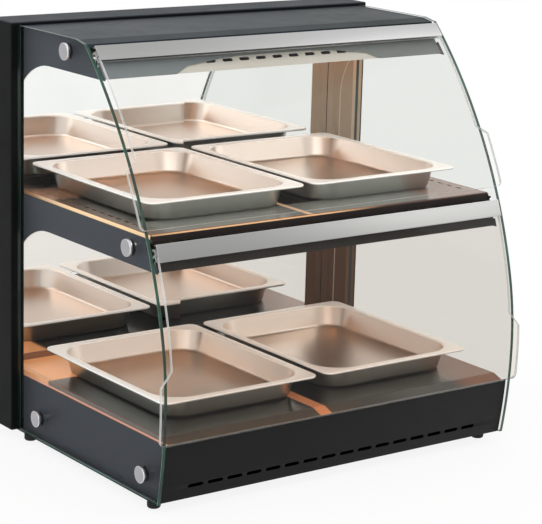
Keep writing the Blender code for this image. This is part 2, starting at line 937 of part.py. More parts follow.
def bead(name, hinge, ceiling):
    half_turn = math.asin(web_half / bead_radius)
    rounding = hinge_arc(
        hinge, bead_radius, web_angle + half_turn, web_angle - half_turn + 2 * math.pi, 20
    )
    along = web_run(hinge)
    front, back = bead_sole(hinge, ceiling)
    foot_low = ceiling + sheet + seat_gap
    foot_top = foot_low + bead_foot

    def web_end(point):
        run = (point[1] - foot_top) / -along.y
        return (point[0] + along.x * run, foot_top)

    first = web_end(rounding[-1])
    last = web_end(rounding[0])
    sole = [(front, foot_top), (front, foot_low), (back, foot_low), (back, foot_top)]
    if first > last:
        sole.reverse()
    prism(name, rounding + [first] + sole + [last], -tray_half, tray_half, "X", aluminium)


def rail(name, hinge):
    face = rail_face
    wall = rail_face - rail_wall
    slot_back = axis_inset
    back_wall = slot_back - rail_wall
    join = math.acos(back_wall / barrel_radius)
    bore = bead_radius + bead_play
    web_u = -barrel_radius * math.sin(rail_web_angle)
    points = [
        (-rail_top, face),
        (rail_bottom, face),
        (rail_bottom + rail_wall / 2, face - rail_wall / 2),
        (rail_bottom, wall),
        (rail_slot_top, wall),
        (rail_slot_top, slot_back),
        (rail_back, slot_back),
        (rail_back, back_wall),
    ]
    outline = [hinge_point(hinge, u, n) for u, n in points]
    outline += hinge_arc(hinge, barrel_radius, join, hook_angle, 2)
    outline += hinge_arc(hinge, bore, hook_angle, -hook_angle, 18)
    outline += hinge_arc(hinge, barrel_radius, -hook_angle, -rail_web_angle, 5)
    outline += [
        hinge_point(hinge, u, n)
        for u, n in (
            (web_u, wall),
            (-rail_top + rail_wall, wall),
            (-rail_top + rail_wall, face - rail_return),
            (-rail_top, face - rail_return),
        )
    ]
    return prism(name, outline, -rail_half, rail_half, "X", aluminium)


def flap(name, hinge, notch_high, notch_low, bottom):
    """Curved glass whose lower part widens into ears that rest on the side glass."""
    turn = hinge[3] - (rail_slot_top + seat_gap) / upper_radius
    top = upper_centre.y + upper_radius * math.sin(turn)
    steps = math.ceil((top - notch_high) / facet)
    rows = [(top + (notch_high - top) * i / steps, flap_half) for i in range(steps + 1)]
    rows.append((notch_low, ear_half))
    start = bottom + ear_corner
    steps = math.ceil((notch_low - start) / facet)
    rows += [(notch_low + (start - notch_low) * i / steps, ear_half) for i in range(1, steps + 1)]
    corner_steps = 5
    for i in range(1, corner_steps + 1):
        angle = math.pi / 2 * i / corner_steps
        rows.append(
            (
                start - ear_corner * math.sin(angle),
                ear_half - ear_corner * (1 - math.cos(angle)),
            )
        )
    rings = []
    for z, half in rows:
        near = outline_at(z, seat_gap)
        far = outline_at(z, seat_gap, glass)
        rings.append([(-half, *near), (half, *near), (half, *far), (-half, *far)])
    return loft(name, rings, clear)


for tier, hinge, ceiling, floor, notch_high, notch_low, bottom in (
    (
        "upper",
        upper_hinge,
        upper_ceiling,
        shelf_top,
        upper_notch_high,
        upper_notch_low,
        upper_flap_lift,
    ),
    (
        "lower",
        lower_hinge,
        lower_ceiling,
        deck_top,
        lower_notch_high,
        lower_notch_low,
        -lower_flap_sink,
    ),
):
    bead(f"{tier}_hinge_bead", hinge, ceiling)
    pieces = [
        rail(f"{tier}_rail", hinge),
        flap(
            f"{tier}_flap_glass", hinge, floor + notch_high, floor + notch_low, floor + bottom
        ),
    ]
    hinge_on(f"{tier}_flap_axis", (0.0, *hinge[0]), pieces)
    print(tier, "flap axis", [round(v, 5) for v in (0.0, *hinge[0])])


# Sliding mirror doors, two to a tier, in finned tracks
channel = glass + 2 * seat_gap
track_depth = 3 * track_fin + 2 * channel


def track(name, base, fin, up):
    """A finned track whose flat side is at base and whose fins point up or down."""
    sign = 1 if up else -1
    near = base + sign * track_fin
    tip = near + sign * fin
    outline = [(track_front, base)]
    for i in range(3):
        start = track_front + i * (track_fin + channel)
        outline += [(start, near if i else tip), (start, tip), (start + track_fin, tip)]
        if i < 2:
            outline.append((start + track_fin, near))
    outline = [p for i, p in enumerate(outline) if i == 0 or p != outline[i - 1]]
    outline.append((track_front + track_depth, base))
    prism(name, outline, -track_half, track_half, "X", plastic)


def door(name, left, track_number, low, high):
    front = track_front + track_fin + seat_gap + track_number * (track_fin + channel)
    start = -door_half if left else -door_overlap
    end = door_overlap if left else door_half
    pane = box(name, (start, front, low), (end, front + glass, high), mirror)
    bevel(pane, door_edge, 1)
    x = start + pull_inset if left else end - pull_inset
    face = front + glass + seat_gap
    profile = [
        (face, pull_radius),
        (face + pull_rim - door_edge, pull_radius),
        (face + pull_rim, pull_radius - door_edge),
        (face + pull_rim, pull_radius - pull_wall),
        (face + pull_rim - pull_well, pull_radius - 2 * pull_wall),
    ]
    pull = turned(f"{name}_pull", profile, (x, (low + high) / 2), "Y", plastic, 20)
    hinge_on(f"{name}_slide", ((start + end) / 2, front + glass / 2, (low + high) / 2), [pane, pull])


for tier, floor, ceiling in (
    ("lower", deck_top, lower_ceiling),
    ("upper", shelf_top, upper_ceiling),
):
    track(f"{tier}_track_bottom", floor + seat_gap, track_low_fin, True)
    track(f"{tier}_track_top", ceiling - seat_gap, track_high_fin, False)
    low = floor + track_fin + 2 * seat_gap
    high = ceiling - seat_gap - track_fin - door_drop
    door(f"{tier}_door_left", True, 0, low, high)
    door(f"{tier}_door_right", False, 1, low, high)


# Food pans: drawn sheet pans with a flat rim turned down at its edge
def pan(name, x, front, floor):
    base = floor + seat_gap
    rim_top = base + pan_height
    centre = (x, front + pan_depth / 2)

    def ring(inset, radius, z):
        low = (centre[0] - pan_width / 2 + inset, centre[1] - pan_depth / 2 + inset)
        high = (centre[0] + pan_width / 2 - inset, centre[1] + pan_depth / 2 - inset)
        return [(px, py, z) for px, py in rounded_box(low, high, radius, 4)]

    wall = pan_rim
    foot = pan_rim + pan_draft
    rings = [
        ring(foot + pan_bottom_round, pan_floor_corner, base + pan_sheet),
        ring(foot, pan_floor_corner, base + pan_bottom_round),
        ring(wall + pan_sheet, pan_corner, rim_top - pan_sheet),
        ring(wall, pan_corner, rim_top),
        ring(pan_sheet, pan_corner, rim_top),
        ring(0.0, pan_corner, rim_top - pan_sheet),
        ring(0.0, pan_corner, rim_top - pan_rim_drop),
        ring(pan_sheet, pan_corner, rim_top - pan_rim_drop),
        ring(pan_sheet, pan_corner, rim_top - pan_sheet),
        ring(wall - pan_sheet, pan_corner, rim_top - pan_sheet),
        ring(foot - pan_sheet, pan_floor_corner, base + pan_bottom_round - pan_sheet),
        ring(foot + pan_bottom_round - pan_sheet, pan_floor_corner, base),
    ]
    loft(name, rings, bright_steel)


pan_x = (pan_width + pan_gap) / 2
for tier, floor, front in (
    ("lower", deck_top, belly_y + lower_pan_setback),
    ("upper", shelf_top, belly_y + upper_pan_setback),
):
    pan(f"{tier}_pan_left", -pan_x, front, floor)
    pan(f"{tier}_pan_right", pan_x, front, floor)


# Control recess in the rear frame with a dial, a rocker switch and a power inlet
recess_back = back_y - frame_skin - seat_gap
recess_floor = recess_back - recess_depth
recess = box(
    "control_recess",
    (
        -recess_half_width - recess_flange,
        recess_floor - recess_sheet,
        recess_low - recess_flange,
    ),
    (recess_half_width + recess_flange, recess_back, recess_high + recess_flange),
    plastic,
)
room = box(
    "recess_room",
    (-recess_half_width, recess_floor, recess_low),
    (recess_half_width, recess_back + recess_sheet, recess_high),
)
boolean(recess, room)
rim_room = box(
    "recess_rim_cut",
    (-width / 2, recess_floor - 2 * recess_sheet, recess_low / 2),
    (width / 2, recess_back - recess_sheet, recess_high + recess_low),
)
core = box(
    "recess_core",
    (
        -recess_half_width - recess_sheet,
        recess_floor - recess_depth,
        recess_low - recess_sheet,
    ),
    (
        recess_half_width + recess_sheet,
        recess_back,
        recess_high + recess_sheet,
    ),
)
boolean(rim_room, core)
boolean(recess, rim_room)


def inlet_outline(shrink):
    """The inlet's six-sided outline, its two upper corners cut off."""
    half = inlet_half_width - shrink
    tall = inlet_half_height - shrink
    return [
        (inlet_x - half, control_z - tall),
        (inlet_x + half, control_z - tall),
        (inlet_x + half, control_z + tall - inlet_key),
        (inlet_x + half - inlet_key, control_z + tall),
        (inlet_x - half + inlet_key, control_z + tall),
        (inlet_x - half, control_z + tall - inlet_key),
    ]


control_holes = prism(
    "control_holes",
    [
        arc((dial_x, control_z), dial_stem_radius + dial_stem_play, 0.0, 2 * math.pi, 16)[:-1],
        rectangle(
            (switch_x, control_z), switch_half_width + seat_gap, switch_half_height + seat_gap
        ),
        inlet_outline(-seat_gap),
    ],
    recess_floor - 2 * recess_sheet,
    recess_floor + recess_sheet,
    "Y",
)
boolean(recess, control_holes)

thermostat_front = recess_floor - recess_sheet - seat_gap
thermostat = box(
    "thermostat",
    (dial_x - thermostat_half, thermostat_front - thermostat_depth, control_z - thermostat_half),
    (dial_x + thermostat_half, thermostat_front, control_z + thermostat_half),
    plastic,
)
stem_room = turned(
    "stem_room",
    [
        (thermostat_front - dial_stem_length, dial_stem_radius + dial_stem_play),
        (thermostat_front + recess_sheet, dial_stem_radius + dial_stem_play),
    ],
    (dial_x, control_z),
    "Y",
    None,
    16,
)
boolean(thermostat, stem_room)


def dial():
    """A fluted dial with a flat skirt and a stem that enters the thermostat."""
    steps = dial_flutes * 4
    start = recess_floor + seat_gap

    def ring(y, radius, flute):
        points = []
        for i in range(steps):
            a = 2 * math.pi * i / steps
            r = radius * (1 - flute * (1 + math.cos(dial_flutes * a)) / 2)
            points.append((dial_x + r * math.cos(a), y, control_z + r * math.sin(a)))
        return points

    rings = [
        ring(thermostat_front - dial_stem_length + dial_stem_play, dial_stem_radius, 0.0),
        ring(start, dial_stem_radius, 0.0),
        ring(start, dial_radius, 0.0),
        ring(start + dial_skirt / 2, dial_radius, 0.0),
        ring(start + dial_skirt, dial_grip_radius, dial_flute_share),
        ring(start + dial_height - knob_edge, dial_grip_radius, dial_flute_share),
        ring(start + dial_height, dial_grip_radius - 2 * knob_edge, dial_flute_share),
    ]
    piece = loft("thermostat_dial", rings, plastic)
    hinge_on("dial_axis", (dial_x, recess_floor, control_z), [piece])


dial()

bezel_face = recess_floor + seat_gap + switch_bezel_depth
bezel = box(
    "switch_bezel",
    (
        switch_x - switch_half_width - switch_bezel,
        recess_floor + seat_gap,
        control_z - switch_half_height - switch_bezel,
    ),
    (
        switch_x + switch_half_width + switch_bezel,
        bezel_face,
        control_z + switch_half_height + switch_bezel,
    ),
    plastic,
)
switch_body = box(
    "switch_body",
    (
        switch_x - switch_half_width,
        recess_floor - switch_body_depth,
        control_z - switch_half_height,
    ),
    (
        switch_x + switch_half_width,
        bezel_face - switch_bezel_depth / 2,
        control_z + switch_half_height,
    ),
)
boolean(bezel, switch_body, "UNION")
well_half_width = switch_half_width - recess_sheet
well_half_height = switch_half_height - recess_sheet
switch_well = box(
    "switch_well",
    (
        switch_x - well_half_width,
        bezel_face - switch_bezel_depth - rocker_depth - rocker_bulge,
        control_z - well_half_height,
    ),
    (switch_x + well_half_width, bezel_face + recess_sheet, control_z + well_half_height),
)
boolean(bezel, switch_well)

pivot_y = bezel_face - rocker_pivot_back
rocker_half = well_half_height - rocker_play
tip_face = bezel_face
rocker_outline = [
    (pivot_y - rocker_depth + rocker_bulge, control_z - rocker_half + rocker_bulge),
    (tip_face - rocker_play, control_z - rocker_half + rocker_play),
    (bezel_face - rocker_play, control_z),
    (tip_face + rocker_bulge, control_z + rocker_half - 2 * rocker_play),
    (pivot_y - rocker_depth + rocker_bulge, control_z + rocker_half - rocker_bulge),
    (pivot_y - rocker_depth + rocker_play, control_z),
]
rocker = prism(
    "switch_rocker",
    rocker_outline,
    switch_x - well_half_width + rocker_play,
    switch_x + well_half_width - rocker_play,
    "X",
    plastic,
)
hinge_on("rocker_axis", (switch_x, pivot_y, control_z), [rocker])


inlet = prism(
    "power_inlet",
    inlet_outline(0.0),
    recess_floor - inlet_body_depth,
    recess_floor + inlet_flange_depth,
    "Y",
    plastic,
)
flange = prism(
    "inlet_flange",
    inlet_outline(-inlet_flange),
    recess_floor + seat_gap,
    recess_floor + seat_gap + inlet_flange_depth,
    "Y",
)
boolean(inlet, flange, "UNION")
socket = prism(
    "inlet_socket",
    inlet_outline(inlet_wall),
    recess_floor - inlet_body_depth + inlet_wall,
    recess_floor + 2 * inlet_flange_depth,
    "Y",
)
pins = bmesh.new()
for i in (-1, 0, 1):
    x = inlet_x + i * inlet_pin_pitch
    z = control_z if i else control_z + inlet_wall
    add_prism(
        pins,
        rectangle((x, z), inlet_pin_half, 2 * inlet_pin_half),
        recess_floor - inlet_body_depth,
        recess_floor - inlet_body_depth + inlet_wall + inlet_pin_length,
        "Y",
    )
pin_cutter = make("inlet_pins", pins, None)
boolean(socket, pin_cutter)
boolean(inlet, socket)

print("parts", sum(1 for o in parts.objects if o.type != "EMPTY"))
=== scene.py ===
import math

import bmesh
import bpy
from mathutils import Matrix, Vector


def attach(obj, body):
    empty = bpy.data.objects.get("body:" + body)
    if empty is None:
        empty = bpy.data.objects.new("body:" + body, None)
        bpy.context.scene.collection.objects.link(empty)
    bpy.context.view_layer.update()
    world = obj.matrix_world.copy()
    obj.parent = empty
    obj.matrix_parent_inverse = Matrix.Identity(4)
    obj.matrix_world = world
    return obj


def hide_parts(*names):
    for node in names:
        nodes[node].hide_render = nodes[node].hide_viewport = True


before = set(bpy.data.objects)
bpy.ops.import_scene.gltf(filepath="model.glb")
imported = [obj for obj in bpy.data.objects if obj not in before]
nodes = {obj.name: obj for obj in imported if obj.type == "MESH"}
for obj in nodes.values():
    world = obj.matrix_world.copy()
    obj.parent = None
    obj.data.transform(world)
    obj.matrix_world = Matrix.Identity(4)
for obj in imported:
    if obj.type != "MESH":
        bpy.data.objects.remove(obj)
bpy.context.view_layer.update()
print("display case: frame loaded,", len(nodes), "solids")


# small helpers for colour and shader arithmetic


def tone(code, gain=1.0):
    # "#rrggbb" as the linear colour Blender works in
    out = []
    for i in (1, 3, 5):
        c = int(code[i:i + 2], 16) / 255
        out.append(gain * (((c + 0.055) / 1.055) ** 2.4 if c > 0.04045 else c / 12.92))
    return (*out, 1.0)


class Val:
    # a shader socket that can stand in plain arithmetic
    def __init__(self, look, socket):
        self.look = look
        self.socket = socket

    def calc(self, kind, a, b=0.0):
        return self.look.add("ShaderNodeMath", {"operation": kind}, {0: a, 1: b})

    def __add__(self, other):
        return self.calc("ADD", self, other)

    def __radd__(self, other):
        return self.calc("ADD", other, self)

    def __sub__(self, other):
        return self.calc("SUBTRACT", self, other)

    def __rsub__(self, other):
        return self.calc("SUBTRACT", other, self)

    def __mul__(self, other):
        return self.calc("MULTIPLY", self, other)

    def __rmul__(self, other):
        return self.calc("MULTIPLY", other, self)

    def __truediv__(self, other):
        return self.calc("DIVIDE", self, other)

    def __pow__(self, other):
        return self.calc("POWER", self, other)

    def __abs__(self):
        return self.calc("ABSOLUTE", self)

    def most(self, other):
        return self.calc("MAXIMUM", self, other)

    def ramp(self, low, high):
        # soft step from 0 to 1 while the value goes from low to high
        return self.look.add(
            "ShaderNodeMapRange",
            {"interpolation_type": "SMOOTHSTEP"},
            {"Value": self, "From Min": low, "From Max": high},
        )

    def band(self, low, high, soft):
        # 1 between low and high, fading over a soft margin
        return self.ramp(low - soft, low + soft) * (1 - self.ramp(high - soft, high + soft))


class Look:
    # the node tree of a material, or of the world when one is handed over
    def __init__(self, name, world=None):
        self.material = world or bpy.data.materials.new(name)
        self.material.use_nodes = True
        self.tree = self.material.node_tree
        self.tree.nodes.clear()
        self.end = self.tree.nodes.new("ShaderNodeOutputWorld" if world else "ShaderNodeOutputMaterial")

    def add(self, kind, settings=None, values=None, out=0):
        node = self.tree.nodes.new(kind)
        for key, value in (settings or {}).items():
            setattr(node, key, value)
        for key, value in (values or {}).items():
            socket = self.find(node, key)
            if isinstance(value, Val):
                self.tree.links.new(value.socket, socket)
            else:
                socket.default_value = value
        return Val(self, node.outputs[out])

    def find(self, node, key):
        if isinstance(key, int):
            return node.inputs[key]
        for socket in node.inputs:
            if socket.identifier == key:
                return socket
        return node.inputs[key]

    def coords(self, kind="Object"):
        return self.add("ShaderNodeTexCoord", out=kind)

    def axis(self, name, vector=None):
        # one number of a vector, the object's own place unless told otherwise
        source = vector or self.coords()
        return self.add("ShaderNodeSeparateXYZ", {}, {0: source}, out=name)

    def noise(self, scale, detail=2.0, rough=0.5, stretch=(1, 1, 1), shift=(0, 0, 0), vector=None):
        placing = {"Vector": vector or self.coords(), "Location": shift, "Scale": stretch}
        values = {"Vector": self.add("ShaderNodeMapping", {}, placing), "Scale": scale, "Detail": detail}
        return self.add("ShaderNodeTexNoise", {}, {**values, "Roughness": rough})

    def mix(self, factor, a, b):
        settings = {"data_type": "RGBA", "clamp_factor": True}
        return self.add("ShaderNodeMix", settings, {"Factor_Float": factor, "A_Color": a, "B_Color": b}, out=2)

    def vectorMath(self, kind, a, b=(0, 0, 0), out=0):
        return self.add("ShaderNodeVectorMath", {"operation": kind}, {0: a, 1: b}, out=out)

    def facing(self, direction):
        # how squarely the surface's own side looks along a direction
        return self.vectorMath("DOT_PRODUCT", self.coords("Normal"), direction, "Value")

    def edges(self, size):
        # 1 along the outer and inner corners of a sheet, 0 on its flats
        rounded = self.add("ShaderNodeBevel", {"samples": 4}, {"Radius": size})
        flat = self.add("ShaderNodeNewGeometry", out="Normal")
        return (1 - self.vectorMath("DOT_PRODUCT", rounded, flat, "Value")).ramp(0.01, 0.25)

    def patch(self, base, spot):
        # colours a region given by its reach along X, Y and Z; hands back the colour and the mask
        parts = [self.axis(name).band(*spot[name.lower()]) for name in "XYZ" if name.lower() in spot]
        if "side" in spot:
            parts.append(self.facing(spot["side"]).ramp(0.3, 0.6))
        mask = math.prod(parts, start=spot["share"])
        return self.mix(mask, base, tone(spot["colour"])), mask

    def bump(self, height, strength, distance):
        return self.add("ShaderNodeBump", {}, {"Strength": strength, "Distance": distance, "Height": height})

    def shader(self, **values):
        names = {key.replace("_", " "): value for key, value in values.items()}
        return self.add("ShaderNodeBsdfPrincipled", {}, names)

    def blendShaders(self, factor, a, b):
        return self.add("ShaderNodeMixShader", {}, {0: factor, 1: a, 2: b})

    def done(self, shader):
        self.tree.links.new(shader.socket, self.end.inputs["Surface"])
        return self.material


# finishes

black = (0, 0, 0, 1)
coatLook = {
    "roughness": 0.5, "peel": 0.006, "peelScale": 900.0, "mottleScale": 6.0, "edgeHighlight": 0.35, "sheen": 0.07,
    "fadeAcross": (-0.3, 0.32),
}
# painted lamp light on the walls that look inwards: how far a wall turns in, the heights of the upper
# tier, its top and the roof's underside, and the reach from the front to the back
lampReach = {
    "inward": (0.08, 0.16), "tier": (0.34, 0.38), "top": (0.46, 0.57), "roof": (0.578, 0.582),
    "front": (-0.1, 0.05), "back": (0.2, 0.21), "topShare": 0.8,
}


def powderCoat(name, look):
    # baked powder paint: fine orange peel, faint mottling, a painted highlight on the corners, and painted light and
    # shade where a look asks for it
    paint = Look(name)
    mottle = paint.noise(look["mottleScale"], 4.0, 0.6).ramp(0.3, 0.7)
    base = paint.mix(mottle, tone(look["colour"], 0.9), tone(look["colour"], 1.1))
    # painted light: the colour turns paler towards the top
    if "topColour" in look:
        low, high = look["fade"]
        base = paint.mix(paint.axis("Z").ramp(low, high), base, tone(look["topColour"]))
    # painted light: the colour fades across X towards the far colour
    if "farColour" in look:
        base = paint.mix(paint.axis("X").ramp(*look["fadeAcross"]), base, tone(look["farColour"]))
    paintedGlow = black
    # painted lamp light: inward walls, rear-facing faces and, where a reach is given, the front face take a warm
    # colour and a painted glow
    if "jamb" in look:
        jamb, reach = look["jamb"], lampReach
        inward = (0 - paint.facing((1, 0, 0)) * paint.axis("X")).ramp(*reach["inward"])
        if "front" in jamb:
            face = paint.facing((0, -1, 0)).ramp(0.5, 0.8) * paint.axis("X").band(*jamb["front"])
            behind = paint.facing((0, 1, 0)).ramp(0.5, 0.8) * (1 - paint.axis("Y").ramp(*reach["back"]))
            inward = inward.most(face).most(behind)
        height = paint.axis("Z")
        paintedLampColour = paint.mix(height.ramp(*reach["tier"]), tone(jamb["low"]), tone(jamb["high"]))
        paintedLampColour = paint.mix(height.ramp(*reach["top"]) * reach["topShare"], paintedLampColour, tone(jamb["head"]))
        inward = inward * (1 - height.ramp(*reach["roof"])) * paint.axis("Y").ramp(*reach["front"])
        base = paint.mix(inward * (0.85 + mottle * 0.15), base, paintedLampColour)
        paintedGlow = paint.mix(inward * jamb["glow"], paintedGlow, paintedLampColour)
    # coloured spots, used for painted light and shade; a glow makes a spot emit its colour as painted light
    for spot in look.get("spots", ()):
        base, mask = paint.patch(base, spot)
        if "glow" in spot:
            paintedGlow = paint.mix(mask, paintedGlow, tone(spot["colour"], spot["glow"]))
    # painted highlight: the corners are mixed towards the paler edge colour
    paleEdges = paint.edges(0.0007) * look["edgeHighlight"]
    base = paint.mix(paleEdges, base, tone(look["edgeColour"]))
    peel = paint.noise(look["peelScale"], 2.0, 0.5)
    dust = paint.noise(35.0, 3.0, 0.6, shift=(3, 1, 2)).ramp(0.45, 0.8)
    rough = look["roughness"] + (mottle - 0.5) * 0.06 + dust * 0.06
    return paint.done(
        paint.shader(
            Base_Color=base,
            Roughness=rough,
            Specular_IOR_Level=look["sheen"],
            Emission_Color=paintedGlow,
            Emission_Strength=1.0,
            Normal=paint.bump(peel, look["peel"], 0.0002),
        )
    )


def brushedMetal(name, look):
    # metal brushed along one direction, with fine streaks, cloudiness, a painted highlight on the corners, a painted
    # fade of light across X and painted spots of light and shade
    metal = Look(name)
    wide = tuple(v / 6 for v in look["brush"])
    streak = metal.noise(1.0, 2.0, 0.6, stretch=look["brush"])
    band = metal.noise(1.0, 2.0, 0.5, stretch=wide, shift=(5, 2, 7))
    cloud = metal.noise(look["cloudScale"], 4.0, 0.6, shift=(1, 4, 2)).ramp(0.3, 0.7)
    grain = streak * 0.6 + band * 0.4
    base = metal.mix(grain.ramp(0.3, 0.7), tone(look["colour"], 1 - look["streak"]), tone(look["colour"]))
    base = metal.mix(cloud * look["cloud"], base, tone(look["cloudColour"]))
    # painted light: the colour fades across X towards the far colour
    if "farColour" in look:
        base = metal.mix(metal.axis("X").ramp(*look["fadeAcross"]), base, tone(look["farColour"]))
    # painted highlight: the corners are mixed towards near white
    shine = metal.edges(look["edgeSize"]) * look["edgeShine"]
    base = metal.mix(shine, base, tone("#fbfbfc"))
    metallic = look["metallic"]
    paintedGlow = black
    # painted spots of light and shade; a glow makes a spot emit its colour as painted light
    for spot in look.get("spots", ()):
        base, mask = metal.patch(base, spot)
        metallic = metallic * (1 - mask * 0.8)
        if "glow" in spot:
            paintedGlow = metal.mix(mask, paintedGlow, tone(spot["colour"], spot["glow"]))
    rough = look["roughness"] + (grain - 0.5) * 0.22 + cloud * 0.05
    return metal.done(
        metal.shader(
            Base_Color=base,
            Metallic=metallic,
            Roughness=rough,
            Emission_Color=paintedGlow,
            Emission_Strength=1.0,
            Normal=metal.bump(grain, look["depth"], 0.00008),
        )
    )


def mouldedPlastic(name, look, marks=None):
    # fine-grained moulding, with pale printed marks where a function gives their shape
    plastic = Look(name)
    grain = plastic.noise(1400.0, 3.0, 0.6)
    shade = plastic.noise(18.0, 3.0, 0.5, shift=(2, 2, 2)).ramp(0.3, 0.7)
    base = plastic.mix(shade, tone(look["colour"], 0.85), tone(look["colour"], 1.15))
    # painted highlight: the corners are mixed towards the paler edge colour
    base = plastic.mix(plastic.edges(0.0005) * 0.35, base, tone(look["edgeColour"]))
    if marks:
        outside = plastic.facing((0, 1, 0)).ramp(0.6, 0.8)
        base = plastic.mix(marks(plastic) * outside * (0.75 + grain * 0.3), base, tone(look["print"]))
    return plastic.done(
        plastic.shader(
            Base_Color=base,
            Roughness=look["roughness"] + grain * 0.12,
            Normal=plastic.bump(grain, look["grain"], 0.0002),
        )
    )


def polishedMetal(name, look):
    metal = Look(name)
    haze = metal.noise(120.0, 4.0, 0.6)
    base = metal.mix(haze.ramp(0.35, 0.65), tone(look["colour"], 0.93), tone(look["colour"]))
    return metal.done(
        metal.shader(
            Base_Color=base,
            Metallic=1.0,
            Roughness=look["roughness"] + haze * 0.06,
            Normal=metal.bump(metal.noise(600.0, 2.0), 0.03, 0.0001),
        )
    )


def clearPane(name, look):
    # thin clear glass: tinted straight through, soft smudges in the reflection of its outer side
    glass = Look(name)
    smudge = glass.noise(7.0, 4.0, 0.65, stretch=(1, 1, 0.6)).ramp(0.35, 0.75)
    wipe = glass.noise(1.0, 3.0, 0.6, stretch=(14, 14, 260), shift=(1, 2, 3)).ramp(0.4, 0.8)
    outside = 1 - glass.add("ShaderNodeNewGeometry", out="Backfacing")
    shine = glass.add("ShaderNodeFresnel", {}, {"IOR": look["index"]})
    factor = shine * look["gain"] * outside
    through = glass.add("ShaderNodeBsdfTransparent", {}, {"Color": tone(look["tint"])})
    mirror = glass.shader(
        Base_Color=tone("#ffffff"), Metallic=1.0, Roughness=0.015 + wipe * 0.05 + smudge * 0.03
    )
    return glass.done(glass.blendShaders(factor, through, mirror))


def glassEdge(name, look):
    # polished glass edge that drifts between a deep and a pale tone
    edge = Look(name)
    drift = edge.noise(16.0, 3.0, 0.6).ramp(0.3, 0.7)
    chatter = edge.noise(700.0, 2.0)
    colour = edge.mix(drift, tone(look["deep"]), tone(look["pale"]))
    if "dim" in look:
        # painted shade: the lower edge seen through the pane, where its side is reported turned round, takes the dim
        # colour
        inside = edge.add("ShaderNodeNewGeometry", out="Backfacing")
        colour = edge.mix(inside * edge.facing((0, 0, 1)).ramp(0.5, 0.9), colour, tone(look["dim"]))
    if "rear" in look:
        # the rear edge, shaded by the frame behind it
        colour = edge.mix(edge.axis("Y").ramp(*look["rearReach"]), colour, tone(look["rear"]))
    solid = edge.shader(
        Base_Color=colour,
        Roughness=look["roughness"] + chatter * 0.1,
        Coat_Weight=look["coat"],
        Normal=edge.bump(chatter, 0.05, 0.0001),
    )
    through = edge.add("ShaderNodeBsdfTransparent", {}, {"Color": tone(look["through"])})
    return edge.done(edge.blendShaders(look["body"], through, solid))


def mirrorPane(name, look):
    # silvered sliding door: mirror with faint wipe marks, green ground edges and a painted back
    pane = Look(name)
    wipe = pane.noise(1.0, 3.0, 0.6, stretch=(20, 20, 160)).ramp(0.45, 0.85)
    haze = pane.noise(6.0, 4.0, 0.6, shift=(2, 3, 1)).ramp(0.4, 0.8)
    rim = (1 - abs(pane.facing((0, 1, 0)))).ramp(0.3, 0.6)
    behind = pane.facing((0, 1, 0)).ramp(0.4, 0.6)
    silver = pane.mix(haze * 0.6, tone(look["colour"]), tone(look["haze"]))
    paint = pane.mix(haze, tone(look["back"]), tone(look["backPale"]))
    peel = pane.noise(260.0, 3.0, 0.6)
    base = pane.mix(rim, pane.mix(behind, silver, paint), tone(look["edge"]))
    return pane.done(
        pane.shader(
            Base_Color=base,
            Metallic=(1 - rim) * (1 - behind),
            Roughness=look["roughness"] + wipe * 0.04 + rim * 0.2 + behind * (0.3 + peel * 0.15),
            Normal=pane.bump(peel * behind, 0.05, 0.0002),
        )
    )


print("display case: finishes ready")


# mesh tools


def piece(name, bm, materials, body, replaced, smooth):
    # closed mesh into a named piece that rides on a body of the case
    bmesh.ops.recalc_face_normals(bm, faces=bm.faces)
    mesh = bpy.data.meshes.new(name)
    bm.to_mesh(mesh)
    bm.free()
    made = bpy.data.objects.new(name, mesh)
    bpy.context.scene.collection.objects.link(made)
    for material in materials:
        mesh.materials.append(material)
    made["smoothAngle"] = smooth
    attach(made, body)
    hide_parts(*replaced)
    return made


def settle(made):
    # modifiers become the mesh itself, shaded smooth between sharp corners
    bpy.context.view_layer.update()
    shaped = made.evaluated_get(bpy.context.evaluated_depsgraph_get())
    mesh = bpy.data.meshes.new_from_object(shaped)
    made.modifiers.clear()
    made.data = mesh
    for polygon in mesh.polygons:
        polygon.use_smooth = True
    mesh.set_sharp_from_angle(angle=math.radians(made["smoothAngle"]))


def soften(made, width, segments=2, slotIndex=-1, angle=40):
    edge = made.modifiers.new("soft edges", "BEVEL")
    edge.width = width
    edge.segments = segments
    edge.limit_method = "ANGLE"
    edge.angle_limit = math.radians(angle)
    edge.material = slotIndex


def cut(made, bm):
    # takes a closed mesh out of a piece
    bmesh.ops.recalc_face_normals(bm, faces=bm.faces)
    mesh = bpy.data.meshes.new("cutter")
    bm.to_mesh(mesh)
    bm.free()
    tool = bpy.data.objects.new("cutter", mesh)
    bpy.context.scene.collection.objects.link(tool)
    hole = made.modifiers.new("cut", "BOOLEAN")
    hole.operation = "DIFFERENCE"
    hole.solver = "EXACT"
    hole.object = tool
    bpy.context.view_layer.update()
    shaped = made.evaluated_get(bpy.context.evaluated_depsgraph_get())
    mesh = bpy.data.meshes.new_from_object(shaped)
    made.modifiers.clear()
    made.data = mesh
    bpy.data.objects.remove(tool, do_unlink=True)


def swept(bm, outline, low, high, axis="X"):
    # an outline pulled along X or Y
    def at(p, along):
        return (along, p[0], p[1]) if axis == "X" else (p[0], along, p[1])

    front = [bm.verts.new(at(p, low)) for p in outline]
    back = [bm.verts.new(at(p, high)) for p in outline]
    bm.faces.new(front)
    bm.faces.new(reversed(back))
    for i in range(len(outline)):
        j = (i + 1) % len(outline)
        bm.faces.new((front[j], front[i], back[i], back[j]))


